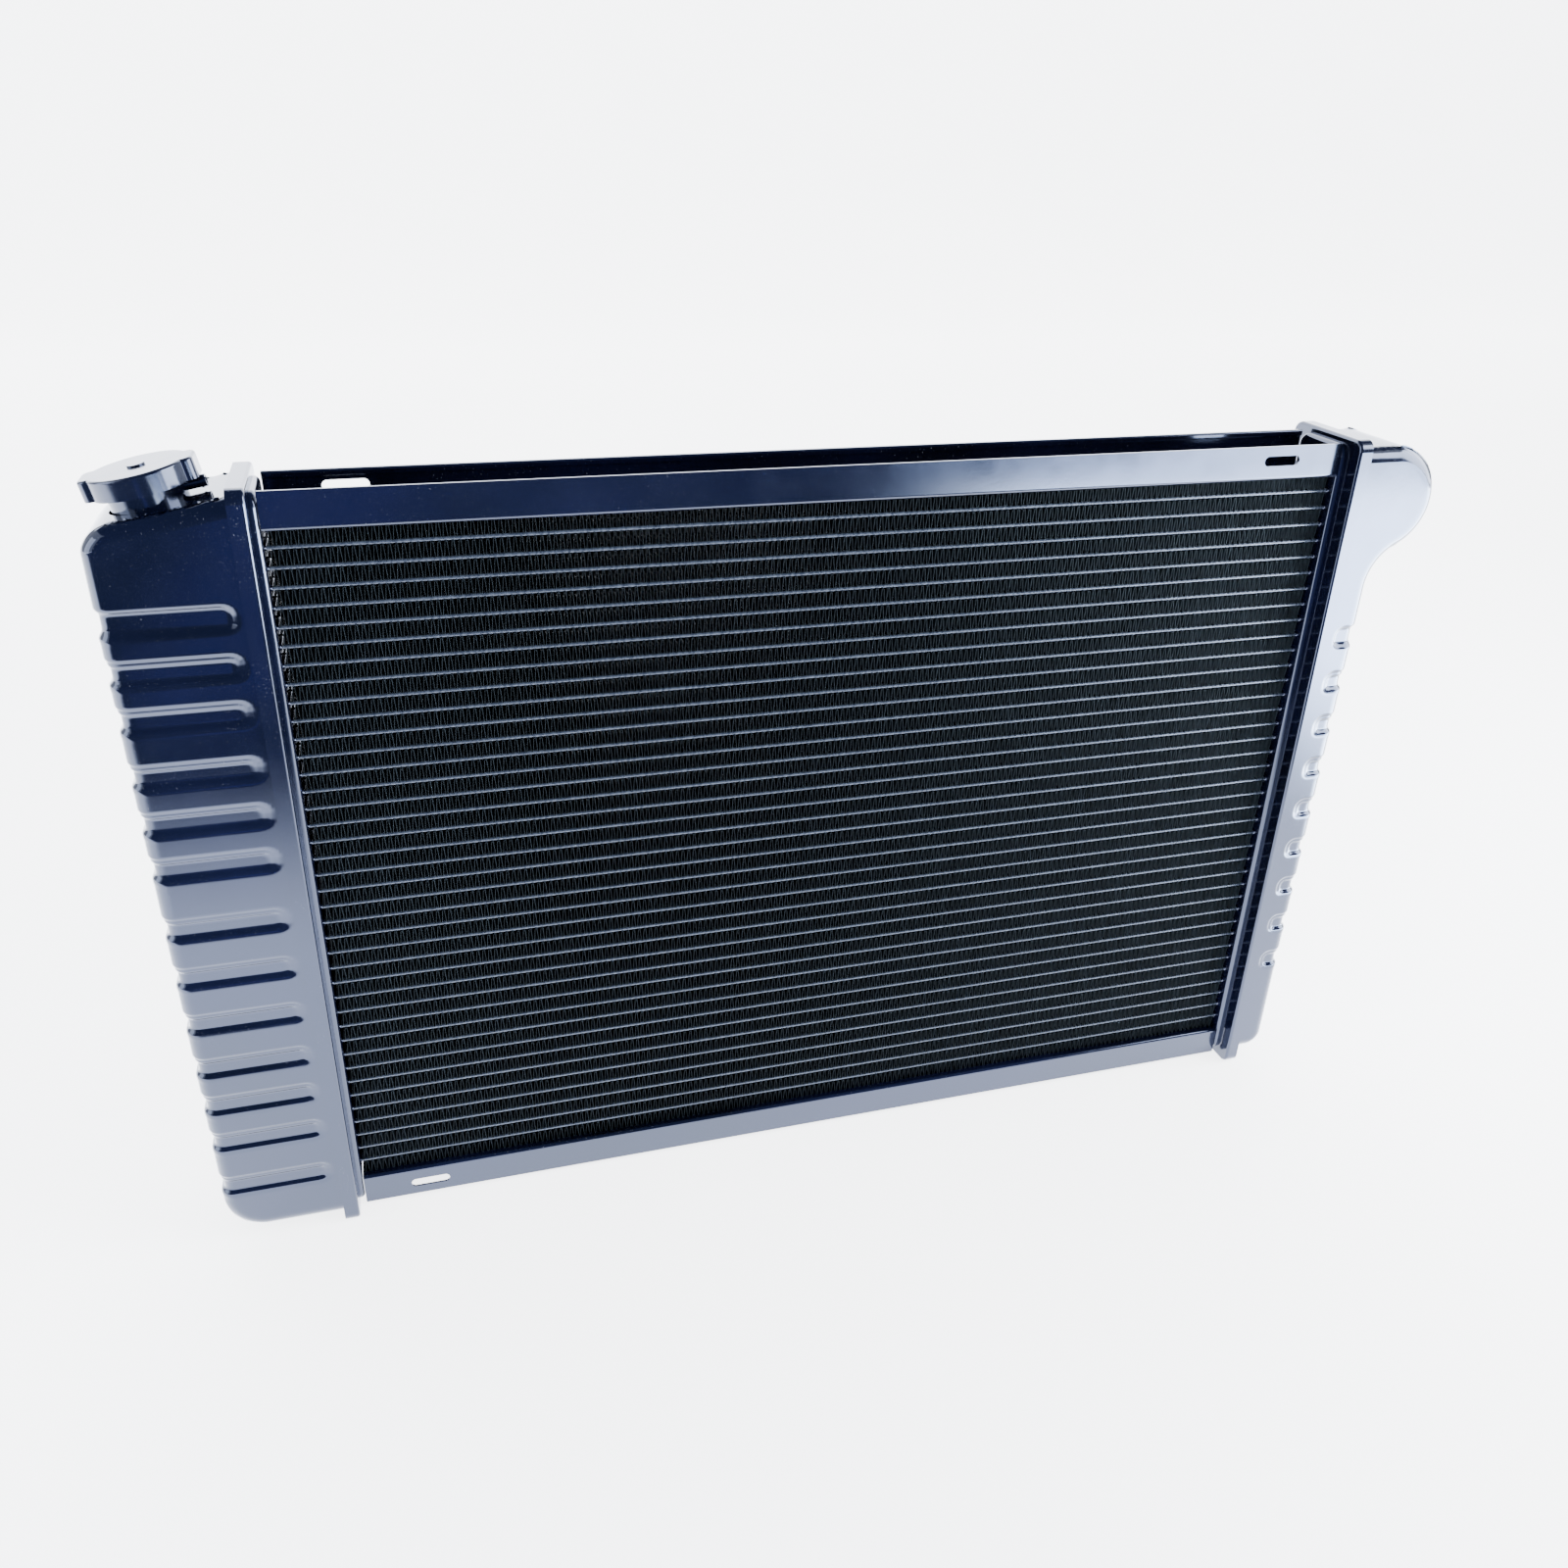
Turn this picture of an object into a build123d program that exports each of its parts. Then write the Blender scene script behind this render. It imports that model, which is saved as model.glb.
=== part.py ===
from build123d import *

from math import cos, radians, sin, tan
import os

# A crossflow car radiator of soldered brass and copper, in millimetres.
# It stands on the lower ends of its two header rims. +X is the viewer's right when facing the
# grille side, +Y runs back towards the engine, +Z is up. The origin is the middle of the footprint
# of the whole object, on the floor. Helper planes below are placed from the centre of the core.

os.makedirs("parts", exist_ok=True)

# ---- core -------------------------------------------------------------------------------------
INCH = 25.4
TUBE_LAYERS = 39
TUBE_PITCH = 7 / 16 * INCH
TUBE_WIDTH = 5 / 8 * INCH
TUBE_THICKNESS = 2.4
TUBE_WALL = 0.35
TUBE_ROW_SPACING = 17.6
TUBE_PROTRUSION = 1.5
FIN_HEIGHT = TUBE_PITCH - TUBE_THICKNESS
FIN_DEPTH = 34.8
BARE_TUBE_END = 3.0
PLATE_TO_PLATE = 654.0
CORE_HEIGHT = TUBE_LAYERS * TUBE_PITCH + FIN_HEIGHT

# ---- header pans ------------------------------------------------------------------------------
SHEET = 1.2
DISH_DEPTH = 4.0
DISH_BEND = 3.0
DISH_HALF_Y = 22.6
DISH_HALF_Z = 242.0
DISH_CORNER = 8.0
RIM_DEPTH = 69.9
RIM_HEIGHT = 493.0
RIM_WIDTH = 9.5
RIM_CORNER = 7.0
RIM_BEND = 1.8

# ---- side channels ----------------------------------------------------------------------------
CHANNEL_DEPTH = 44.4
CHANNEL_TOP = 242.8
CHANNEL_END_GAP = 0.3
CHANNEL_BEND = 2.4
HEM_THICKNESS = 2.4
HEM_HEIGHT = 4.0
SLOT_LENGTH = 25.4
SLOT_WIDTH = 6.2
SLOT_FROM_END = 43.0
SLOT_HEIGHT = 233.5

# ---- tanks ------------------------------------------------------------------------------------
TANK_WALL = 1.2
TANK_HALF_Y = 33.0
TANK_EDGE_RADIUS = 9.0
PANEL_RECESS = 1.8
PANEL_HEIGHT = 15.3
PANEL_CORNER = 5.0
PANEL_START = 4.0
PAD_MARGIN = 6.0
LEFT_REACH = 413.4
LEFT_TOP = 243.5
LEFT_TOP_SLOPE = 11.0
LEFT_BOTTOM = -240.0
LEFT_TOP_CORNER = 14.0
LEFT_BOTTOM_CORNER = 26.0
LEFT_FIRST_STEP = 188.0
LEFT_STEP_GAPS = (27.5, 27.0, 33.0, 29.0, 29.0, 40.0, 33.5, 33.5, 33.0, 29.0, 29.5, 36.0)
RIGHT_BODY_REACH = 363.5
RIGHT_TOP = 241.0
RIGHT_BOTTOM = -236.0
RIGHT_BOTTOM_CORNER = 14.0
BULB_RADIUS = 35.0
BULB_BLEND = 30.0
RIGHT_REACH = 400.0
RIGHT_FIRST_STEP = 122.0
RIGHT_STEP_PITCH = 33.0
RIGHT_PANELS = 9

# ---- hose necks -------------------------------------------------------------------------------
NECK_WALL = 1.2
NECK_LENGTH = 42.0
NECK_BEAD = 1.2
NECK_BEAD_FROM_END = 9.0
INLET_RADIUS = 1.5 * INCH / 2
OUTLET_RADIUS = 1.75 * INCH / 2
INLET_X, INLET_Z = RIGHT_REACH - BULB_RADIUS - 0.5, RIGHT_TOP - BULB_RADIUS
OUTLET_X, OUTLET_Z = -377.0, -196.0

# ---- filler neck and pressure cap, heights along the neck from its foot on the tank top -------
FILLER_X = -380.0
FILLER_TILT = 11.0
FILLER_RADIUS = 19.5
FILLER_WALL = 1.2
FILLER_SUNK = 12.0
FLANGE_HEIGHT = 13.4
FLANGE_RADIUS = 24.0
CAM_MIDDLE = 10.3
CAM_SLOPE = 0.066
CAM_NOTCH = 17.6
CAM_NOTCH_DEPTH = 2.5
SEAT_RADIUS = 12.5
NIPPLE_RADIUS = 1 / 4 * INCH / 2
NIPPLE_BORE = 2.2
NIPPLE_HEIGHT = 4.7
NIPPLE_SLOPE = 11.0
NIPPLE_REACH = 30.0
NIPPLE_BEAD = 0.4
NIPPLE_BEAD_WIDTH = 1.0
NIPPLE_BEAD_FROM_END = 3.0
CAP_TOP = 19.4
CAP_SKIRT = 11.0
CAP_SHEET = 1.0
CAP_RADIUS = 25.7
CAP_EAR_REACH = 28.5
CAP_EAR_WIDTH = 22.0
CAP_EAR_CORNER = 5.0
CAP_EDGE_RADIUS = 1.5
HOOK_WIDTH = 15.0
HOOK_REACH = 21.8
RIVET_RADIUS = 2.0
RIVET_HEAD = 4.5
TURNING_CLEARANCE = 0.05
DISC_RADIUS = 22.4
DISC_SHEET = 0.4
DISC_BRIM = 3.0
SEAL_MARGIN = 0.3
UPPER_SEAL_THICKNESS = 1.4
BELL_RADIUS = 14.0
BELL_SHEET = 0.8
BELL_FOOT = 0.0
SPRING_RADIUS = 10.4
SPRING_WIRE = 0.7
SPRING_COILS = 5
VALVE_RADIUS = 16.2
VALVE_TUBE_RADIUS = 12.8
VALVE_TUBE_TOP = 6.0
VALVE_HOLE = 3.0
LOWER_SEAL_THICKNESS = 2.0
VACUUM_DISC_RADIUS = 5.0

# ---- oil cooler -------------------------------------------------------------------------------
COOLER_X = -378.0
COOLER_Y = 10.0
COOLER_Z = -10.0
COOLER_LENGTH = 300.0
COOLER_RADIUS = 12.7
COOLER_CORE_RADIUS = 8.5
COOLER_WALL = 0.8
FITTING_HALF_SPACING = 127.0
FITTING_RADIUS = 8.5
FITTING_BORE = 5.6
FITTING_REACH = 42.0
NUT_ACROSS_FLATS = 24.0
NUT_THICKNESS = 4.0
WASHER_RADIUS = 12.5
WASHER_THICKNESS = 1.5

# ---- drain cock -------------------------------------------------------------------------------
DRAIN_X = 351.0
DRAIN_Z = -214.0
DRAIN_BUSH_RADIUS = 9.0
DRAIN_BUSH_LENGTH = 10.0
DRAIN_STEM_RADIUS = 4.0
DRAIN_PORT_RADIUS = 2.5
DRAIN_SEAT_DEPTH = 4.0
DRAIN_SEAL_THICKNESS = 1.6
DRAIN_SPOUT_RADIUS = 1.5
DRAIN_SPOUT_OFFSET = 5.0
DRAIN_WING_GAP = 3.0
DRAIN_WING_SPAN = 24.0
DRAIN_WING_THICKNESS = 4.0
DRAIN_WING_DEPTH = 9.0

# ---- places -----------------------------------------------------------------------------------
HALF_W = PLATE_TO_PLATE / 2
MOUTH_X = HALF_W + DISH_DEPTH + SHEET
REAR_REACH = TANK_HALF_Y + NECK_LENGTH
CORE_X = (LEFT_REACH - RIGHT_REACH) / 2
CORE_Y = (RIM_DEPTH / 2 - REAR_REACH) / 2
CORE_Z = RIM_HEIGHT / 2
CAP_FOOT = CAP_TOP - CAP_SKIRT
DISC_FOOT = FLANGE_HEIGHT + TURNING_CLEARANCE + UPPER_SEAL_THICKNESS
VALVE_FOOT = -FILLER_SUNK + FILLER_WALL + TURNING_CLEARANCE + LOWER_SEAL_THICKNESS
TOLERANCE = 0.01
OVERCUT = 1.0


def left_top_at(x):
    """Height of the left tank's sloping top at a distance from the core centre."""
    return LEFT_TOP - (x - MOUTH_X) * tan(radians(LEFT_TOP_SLOPE))


def level(z, x=0.0, y=0.0):
    """Horizontal plane at a place given from the core centre."""
    return Plane(origin=(CORE_X + x, CORE_Y + y, CORE_Z + z))


def outboard(side, x, y=0.0, z=0.0):
    """Upright plane facing away from the core at distance x; its own axes run along Y and up."""
    return Plane(
        origin=(CORE_X + side * x, CORE_Y + y, CORE_Z + z), x_dir=(0, side, 0), z_dir=(side, 0, 0)
    )


def facing_front(y, x=0.0, z=0.0):
    """Upright plane across the radiator, facing the grille; its own axes run along +X and up."""
    return Plane(origin=(CORE_X + x, CORE_Y + y, CORE_Z + z), x_dir=(1, 0, 0), z_dir=(0, -1, 0))


def finish(builder, name):
    """Label one finished piece and write its file."""
    builder.part.label = name
    export_step(builder.part, f"parts/{name}.step")


# ---- core pieces ------------------------------------------------------------------------------
def make_tube_row(name, row_y):
    """One row of flat water tubes, a separate hollow tube at each layer."""
    length = PLATE_TO_PLATE + 2 * (SHEET + TUBE_PROTRUSION)
    with BuildPart() as row:
        with BuildSketch(outboard(1, -length / 2, row_y)):
            with GridLocations(TUBE_WIDTH, TUBE_PITCH, 1, TUBE_LAYERS):
                SlotOverall(TUBE_WIDTH, TUBE_THICKNESS)
            with GridLocations(TUBE_WIDTH, TUBE_PITCH, 1, TUBE_LAYERS):
                SlotOverall(TUBE_WIDTH - 2 * TUBE_WALL, TUBE_THICKNESS - 2 * TUBE_WALL,
                            mode=Mode.SUBTRACT)
        extrude(amount=length)
    finish(row, name)


def make_fin_strips():
    """The outer form of each corrugated fin strip, one between each pair of tube layers."""
    strip_length = PLATE_TO_PLATE - 2 * BARE_TUBE_END
    with BuildPart() as fins:
        with BuildSketch(facing_front(-FIN_DEPTH / 2)):
            with GridLocations(1, TUBE_PITCH, 1, TUBE_LAYERS + 1):
                Rectangle(strip_length, FIN_HEIGHT)
        extrude(amount=-FIN_DEPTH)
    finish(fins, "fin_strips")


def make_channel(name, side):
    """U channel along the core's top (side 1) or bottom (side -1), open away from the core."""
    half_length = HALF_W - CHANNEL_END_GAP
    web_z = CORE_HEIGHT / 2
    half_y = CHANNEL_DEPTH / 2
    section_plane = Plane(
        origin=(CORE_X - half_length, CORE_Y, CORE_Z), x_dir=(0, 1, 0), z_dir=(1, 0, 0)
    )
    with BuildPart() as channel:
        with BuildSketch(section_plane):
            with Locations((0, side * (web_z + CHANNEL_TOP) / 2)):
                Rectangle(CHANNEL_DEPTH, CHANNEL_TOP - web_z)
            with Locations((0, side * (web_z + SHEET + CHANNEL_TOP) / 2)):
                Rectangle(CHANNEL_DEPTH - 2 * SHEET, CHANNEL_TOP - web_z - SHEET, mode=Mode.SUBTRACT)
            for edge in (-1, 1):
                with Locations((edge * (half_y - HEM_THICKNESS / 2), side * (CHANNEL_TOP - HEM_HEIGHT / 2))):
                    RectangleRounded(HEM_THICKNESS, HEM_HEIGHT, HEM_THICKNESS / 2 - 0.05)
        extrude(amount=2 * half_length)
        bends = channel.edges().filter_by(Axis.X).filter_by(
            lambda e: abs(abs(e.center().Z - CORE_Z) - web_z) < TOLERANCE
        )
        fillet(bends, radius=CHANNEL_BEND)
        slot_x = half_length - SLOT_FROM_END
        with BuildSketch(facing_front(-half_y, side * slot_x, side * SLOT_HEIGHT)):
            SlotOverall(SLOT_LENGTH, SLOT_WIDTH)
        extrude(amount=-HEM_THICKNESS - SHEET, mode=Mode.SUBTRACT)
        with BuildSketch(facing_front(half_y, -side * slot_x, side * SLOT_HEIGHT)):
            SlotOverall(SLOT_LENGTH, SLOT_WIDTH)
        extrude(amount=HEM_THICKNESS + SHEET, mode=Mode.SUBTRACT)
    finish(channel, name)


# ---- header pans ------------------------------------------------------------------------------
def make_header(name, side):
    """Pressed pan: the dished tube plate and the rim whose trough holds the tank's edge."""
    with BuildPart() as header:
        with BuildSketch(outboard(side, HALF_W)):
            RectangleRounded(2 * DISH_HALF_Y, 2 * DISH_HALF_Z, DISH_CORNER)
        extrude(amount=DISH_DEPTH + SHEET)
        fillet(header.faces().sort_by(Axis.X)[0 if side > 0 else -1].edges(), radius=DISH_BEND)
        with BuildSketch(outboard(side, HALF_W + DISH_DEPTH)):
            RectangleRounded(RIM_DEPTH, RIM_HEIGHT, RIM_CORNER)
        extrude(amount=RIM_WIDTH)
        rim_x = CORE_X + side * (HALF_W + DISH_DEPTH)
        bends = header.edges().filter_by(
            lambda e: abs(e.center().X - rim_x) < TOLERANCE
            and (abs(e.center().Y - CORE_Y) > DISH_HALF_Y + OVERCUT
                 or abs(e.center().Z - CORE_Z) > DISH_HALF_Z + OVERCUT)
        )
        fillet(bends, radius=RIM_BEND)
        with BuildSketch(outboard(side, HALF_W + SHEET)):
            RectangleRounded(2 * (DISH_HALF_Y - SHEET), 2 * (DISH_HALF_Z - SHEET), DISH_CORNER - SHEET)
        extrude(amount=DISH_DEPTH + RIM_WIDTH, mode=Mode.SUBTRACT)
        with BuildSketch(outboard(side, MOUTH_X)):
            RectangleRounded(RIM_DEPTH - 2 * SHEET, RIM_HEIGHT - 2 * SHEET, RIM_CORNER - SHEET)
        extrude(amount=RIM_WIDTH, mode=Mode.SUBTRACT)
        with BuildSketch(outboard(side, HALF_W)):
            with GridLocations(TUBE_ROW_SPACING, TUBE_PITCH, 2, TUBE_LAYERS):
                SlotOverall(TUBE_WIDTH, TUBE_THICKNESS)
        extrude(amount=SHEET, mode=Mode.SUBTRACT)
    finish(header, name)


# ---- tanks ------------------------------------------------------------------------------------
def left_outline(inset):
    """Side view of the left tank: a sloping top and rounded outboard corners."""
    with BuildSketch(facing_front(-TANK_HALF_Y + inset)) as outline:
        with BuildLine():
            Polyline(
                (-MOUTH_X, LEFT_BOTTOM), (-MOUTH_X, left_top_at(MOUTH_X)),
                (-LEFT_REACH, left_top_at(LEFT_REACH)), (-LEFT_REACH, LEFT_BOTTOM), close=True,
            )
        make_face()
        fillet(outline.vertices().sort_by(Axis.X)[:2].sort_by(Axis.Y)[0], radius=LEFT_BOTTOM_CORNER)
        fillet(outline.vertices().sort_by(Axis.X)[:2].sort_by(Axis.Y)[-1], radius=LEFT_TOP_CORNER)
        if inset:
            offset(amount=-inset, kind=Kind.INTERSECTION)
    return outline.sketch


def right_outline(inset):
    """Side view of the right tank: a narrow body with a round bulb at its top."""
    bulb_x = RIGHT_REACH - BULB_RADIUS
    bulb_z = RIGHT_TOP - BULB_RADIUS
    with BuildSketch(facing_front(-TANK_HALF_Y + inset)) as outline:
        with Locations(((MOUTH_X + RIGHT_BODY_REACH) / 2, (bulb_z + RIGHT_BOTTOM) / 2)):
            Rectangle(RIGHT_BODY_REACH - MOUTH_X, bulb_z - RIGHT_BOTTOM)
        with Locations((bulb_x, bulb_z)):
            Circle(BULB_RADIUS)
        with Locations(((MOUTH_X + bulb_x) / 2, bulb_z + BULB_RADIUS / 2)):
            Rectangle(bulb_x - MOUTH_X, BULB_RADIUS)
        with Locations((MOUTH_X, bulb_z)):
            Rectangle(BULB_RADIUS, 2 * BULB_RADIUS, align=(Align.MAX, Align.CENTER), mode=Mode.SUBTRACT)
        fillet(outline.vertices().sort_by(Axis.Y)[:2].sort_by(Axis.X)[-1], radius=RIGHT_BOTTOM_CORNER)
        notch = outline.vertices().filter_by(
            lambda v: abs(v.X - RIGHT_BODY_REACH) < TOLERANCE and v.Y > 0
        )
        fillet(notch, radius=BULB_BLEND)
        if inset:
            offset(amount=-inset, kind=Kind.INTERSECTION)
    return outline.sketch


def tank_body(side, inset):
    """Closed form of a tank, drawn in by the inset on every side."""
    outline = left_outline(inset) if side < 0 else right_outline(inset)
    mouth_x = CORE_X + side * (MOUTH_X + inset)
    with BuildPart() as body:
        extrude(outline, amount=-2 * (TANK_HALF_Y - inset))
        rounded = body.faces().filter_by(Axis.Y).edges().filter_by(
            lambda e: abs(e.center().X - mouth_x) > TOLERANCE
        )
        fillet(rounded, radius=TANK_EDGE_RADIUS - inset)
    return body.part


def panel_band(side, step_z, reach):
    """Bar through the tank at one recessed panel, with rounded corners by the rim."""
    start = MOUTH_X + RIM_WIDTH - SHEET + PANEL_START
    end = reach + OVERCUT
    with BuildPart() as band:
        with BuildSketch(facing_front(-TANK_HALF_Y - OVERCUT)) as outline:
            with Locations((side * (start + end) / 2, step_z - PANEL_HEIGHT / 2)):
                Rectangle(end - start, PANEL_HEIGHT)
            by_x = outline.vertices().sort_by(Axis.X)
            fillet(by_x[-2:] if side < 0 else by_x[:2], radius=PANEL_CORNER)
        extrude(amount=-2 * (TANK_HALF_Y + OVERCUT))
    return band.part


def make_tank(name, side, steps, reach, top, bottom, bores):
    """A pressed tank: panelled outside, hollow inside, with a plain edge that fits the rim."""
    wall = PANEL_RECESS + TANK_WALL
    pressed = tank_body(side, PANEL_RECESS)
    edge_length = RIM_WIDTH - SHEET
    with BuildPart() as tank:
        add(tank_body(side, 0))
        for step_z in steps:
            add(panel_band(side, step_z, reach) - pressed, mode=Mode.SUBTRACT)
        for x, z, radius in bores:
            with BuildSketch(facing_front(TANK_HALF_Y, x, z)):
                Circle(radius + PAD_MARGIN)
            extrude(amount=wall)
        with BuildSketch(outboard(side, MOUTH_X)):
            RectangleRounded(RIM_DEPTH - 2 * SHEET, RIM_HEIGHT - 2 * SHEET, RIM_CORNER - SHEET)
        extrude(amount=edge_length)
        add(tank_body(side, wall), mode=Mode.SUBTRACT)
        with BuildSketch(outboard(side, MOUTH_X)):
            RectangleRounded(RIM_DEPTH - 4 * SHEET, RIM_HEIGHT - 4 * SHEET, RIM_CORNER - 2 * SHEET)
        extrude(amount=edge_length - 2 * SHEET, mode=Mode.SUBTRACT)
        with BuildSketch(outboard(side, MOUTH_X, 0, (top + bottom) / 2)):
            Rectangle(2 * (TANK_HALF_Y - wall), top - bottom - 2 * wall)
        extrude(amount=edge_length, mode=Mode.SUBTRACT)
        for x, z, radius in bores:
            with BuildSketch(facing_front(TANK_HALF_Y + OVERCUT, x, z)):
                Circle(radius)
            extrude(amount=TANK_HALF_Y / 2, mode=Mode.SUBTRACT)
        if side < 0:
            with BuildSketch(filler_plane(-FILLER_SUNK)):
                Circle(FILLER_RADIUS)
            extrude(amount=2 * FILLER_SUNK, mode=Mode.SUBTRACT)
    finish(tank, name)


# ---- hose necks -------------------------------------------------------------------------------
def make_hose_neck(name, x, z, radius):
    """Tube standing out of a tank's back, with a raised bead near its free end."""
    root = TANK_HALF_Y - PANEL_RECESS - TANK_WALL
    with BuildPart() as neck:
        with BuildSketch(facing_front(root, x, z)):
            Circle(radius)
        extrude(amount=-(REAR_REACH - root))
        with BuildSketch(
            Plane(origin=(CORE_X + x, CORE_Y + REAR_REACH - NECK_BEAD_FROM_END, CORE_Z + z),
                  x_dir=(1, 0, 0), z_dir=(0, 0, 1))
        ):
            with Locations((radius, 0)):
                Circle(NECK_BEAD)
        revolve(axis=Axis((CORE_X + x, CORE_Y, CORE_Z + z), (0, 1, 0)))
        with BuildSketch(facing_front(root, x, z)):
            Circle(radius - NECK_WALL)
        extrude(amount=-(REAR_REACH - root), mode=Mode.SUBTRACT)
    finish(neck, name)


# ---- filler neck ------------------------------------------------------------------------------
def filler_plane(height):
    """Plane across the filler neck at a height along it from the foot on the tank's top."""
    tilt = radians(FILLER_TILT)
    up = (-sin(tilt), 0, cos(tilt))
    foot = left_top_at(-FILLER_X)
    origin = (CORE_X + FILLER_X + height * up[0], CORE_Y, CORE_Z + foot + height * up[2])
    return Plane(origin=origin, x_dir=(cos(tilt), 0, sin(tilt)), z_dir=up)


def nipple_plane(reach):
    """Plane across the overflow nipple at a distance from the filler neck's axis."""
    slope = radians(NIPPLE_SLOPE)
    out = (cos(slope), 0, sin(slope))
    axis = filler_plane(NIPPLE_HEIGHT).origin
    return Plane(origin=axis + Vector(*out) * reach, x_dir=(0, 1, 0), z_dir=out)


def disc(plane, depth, outer, inner=0.0):
    """Round plate, or ring, standing on a plane."""
    with BuildPart() as plate:
        with BuildSketch(plane):
            Circle(outer)
            if inner:
                Circle(inner, mode=Mode.SUBTRACT)
        extrude(amount=depth)
    return plate.part


def ring(low, high, outer, inner=0.0):
    """Round plate, or ring, about the filler axis between two heights."""
    return disc(filler_plane(low), high - low, outer, inner)


def cam_ramp(half):
    """Block under one of the cam flange's two ramps, to be cut away from it."""
    middle = filler_plane(CAM_MIDDLE)
    lean = middle.z_dir - middle.y_dir * half * CAM_SLOPE
    with BuildPart() as block:
        with BuildSketch(Plane(origin=middle.origin, x_dir=middle.x_dir, z_dir=lean)):
            with Locations((half * FLANGE_RADIUS, 0)):
                Rectangle(2 * FLANGE_RADIUS, 2 * FLANGE_RADIUS + 4 * SHEET)
            Circle(FILLER_RADIUS + SHEET, mode=Mode.SUBTRACT)
        extrude(amount=-4 * SHEET)
    return block.part


def make_filler_neck():
    """Filler neck: tube, lower valve seat, and a cam flange with two ramps and two notches."""
    inner = FILLER_RADIUS - FILLER_WALL
    cam_foot = CAM_MIDDLE - 2 * SHEET
    with BuildPart() as neck:
        add(ring(-FILLER_SUNK, FLANGE_HEIGHT, FILLER_RADIUS, inner))
        add(ring(-FILLER_SUNK, -FILLER_SUNK + FILLER_WALL, FILLER_RADIUS, SEAT_RADIUS))
        add(ring(FLANGE_HEIGHT - SHEET, FLANGE_HEIGHT, FLANGE_RADIUS, inner))
        add(ring(cam_foot, FLANGE_HEIGHT - SHEET, FLANGE_RADIUS, FLANGE_RADIUS - SHEET))
        add(cam_ramp(1), mode=Mode.SUBTRACT)
        add(cam_ramp(-1), mode=Mode.SUBTRACT)
        with BuildSketch(filler_plane(cam_foot - SHEET)):
            with Locations((0, FLANGE_RADIUS), (0, -FLANGE_RADIUS)):
                Rectangle(CAM_NOTCH, 2 * CAM_NOTCH_DEPTH)
        extrude(amount=FLANGE_HEIGHT, mode=Mode.SUBTRACT)
        add(disc(nipple_plane(inner - SHEET), 4 * SHEET, NIPPLE_RADIUS), mode=Mode.SUBTRACT)
    finish(neck, "filler_neck")


def make_overflow_nipple():
    """Overflow tube soldered into the side of the filler neck, with a bead at its free end."""
    start = FILLER_RADIUS - 3 * SHEET
    with BuildPart() as nipple:
        add(disc(nipple_plane(start), NIPPLE_REACH - start, NIPPLE_RADIUS, NIPPLE_BORE))
        bead_start = nipple_plane(NIPPLE_REACH - NIPPLE_BEAD_FROM_END)
        add(disc(bead_start, NIPPLE_BEAD_WIDTH, NIPPLE_RADIUS + NIPPLE_BEAD, NIPPLE_BORE))
        add(ring(-FILLER_SUNK, FLANGE_HEIGHT, FILLER_RADIUS - FILLER_WALL), mode=Mode.SUBTRACT)
    finish(nipple, "overflow_nipple")


# ---- pressure cap -----------------------------------------------------------------------------
def cap_block(inset, height):
    """Round cap with two ears, standing on the cap's foot."""
    with BuildPart() as block:
        with BuildSketch(filler_plane(CAP_FOOT)):
            Circle(CAP_RADIUS - inset)
            RectangleRounded(
                2 * (CAP_EAR_REACH - inset), CAP_EAR_WIDTH - 2 * inset, CAP_EAR_CORNER - inset
            )
        extrude(amount=height)
    return block.part


def make_cap_shell():
    """Cap shell: top, skirt, two ears, and the two hooks that catch under the cam flange."""
    with BuildPart() as shell:
        add(cap_block(0, CAP_SKIRT))
        top = shell.faces().sort_by(Axis(filler_plane(0).origin, filler_plane(0).z_dir))[-1]
        fillet(top.edges(), radius=CAP_EDGE_RADIUS)
        add(cap_block(CAP_SHEET, CAP_SKIRT - CAP_SHEET), mode=Mode.SUBTRACT)
        with BuildSketch(filler_plane(CAP_FOOT)):
            RectangleRounded(2 * (CAP_EAR_REACH - CAP_SHEET / 2), HOOK_WIDTH, CAP_EDGE_RADIUS)
            Circle(HOOK_REACH, mode=Mode.SUBTRACT)
        extrude(amount=CAP_SHEET)
        add(ring(CAP_FOOT, CAP_TOP, RIVET_RADIUS + TURNING_CLEARANCE), mode=Mode.SUBTRACT)
    finish(shell, "cap_shell")


def make_cap_disc():
    """Spring steel disc that presses the upper seal down; its middle is dished up to the shell."""
    crown = CAP_TOP - CAP_SHEET - 2 * TURNING_CLEARANCE
    brim = BELL_RADIUS + DISC_BRIM
    middle = 2 * RIVET_HEAD
    axis_plane = filler_plane(0)
    section = Plane(origin=axis_plane.origin, x_dir=axis_plane.x_dir, z_dir=-axis_plane.y_dir)
    with BuildPart() as plate:
        with BuildSketch(section):
            with BuildLine():
                Polyline(
                    (RIVET_RADIUS, crown - DISC_SHEET), (middle, crown - DISC_SHEET),
                    (brim, DISC_FOOT), (DISC_RADIUS, DISC_FOOT),
                    (DISC_RADIUS, DISC_FOOT + DISC_SHEET), (brim, DISC_FOOT + DISC_SHEET),
                    (middle, crown), (RIVET_RADIUS, crown), close=True,
                )
            make_face()
        revolve(axis=Axis(axis_plane.origin, axis_plane.z_dir))
    finish(plate, "cap_disc")


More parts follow.
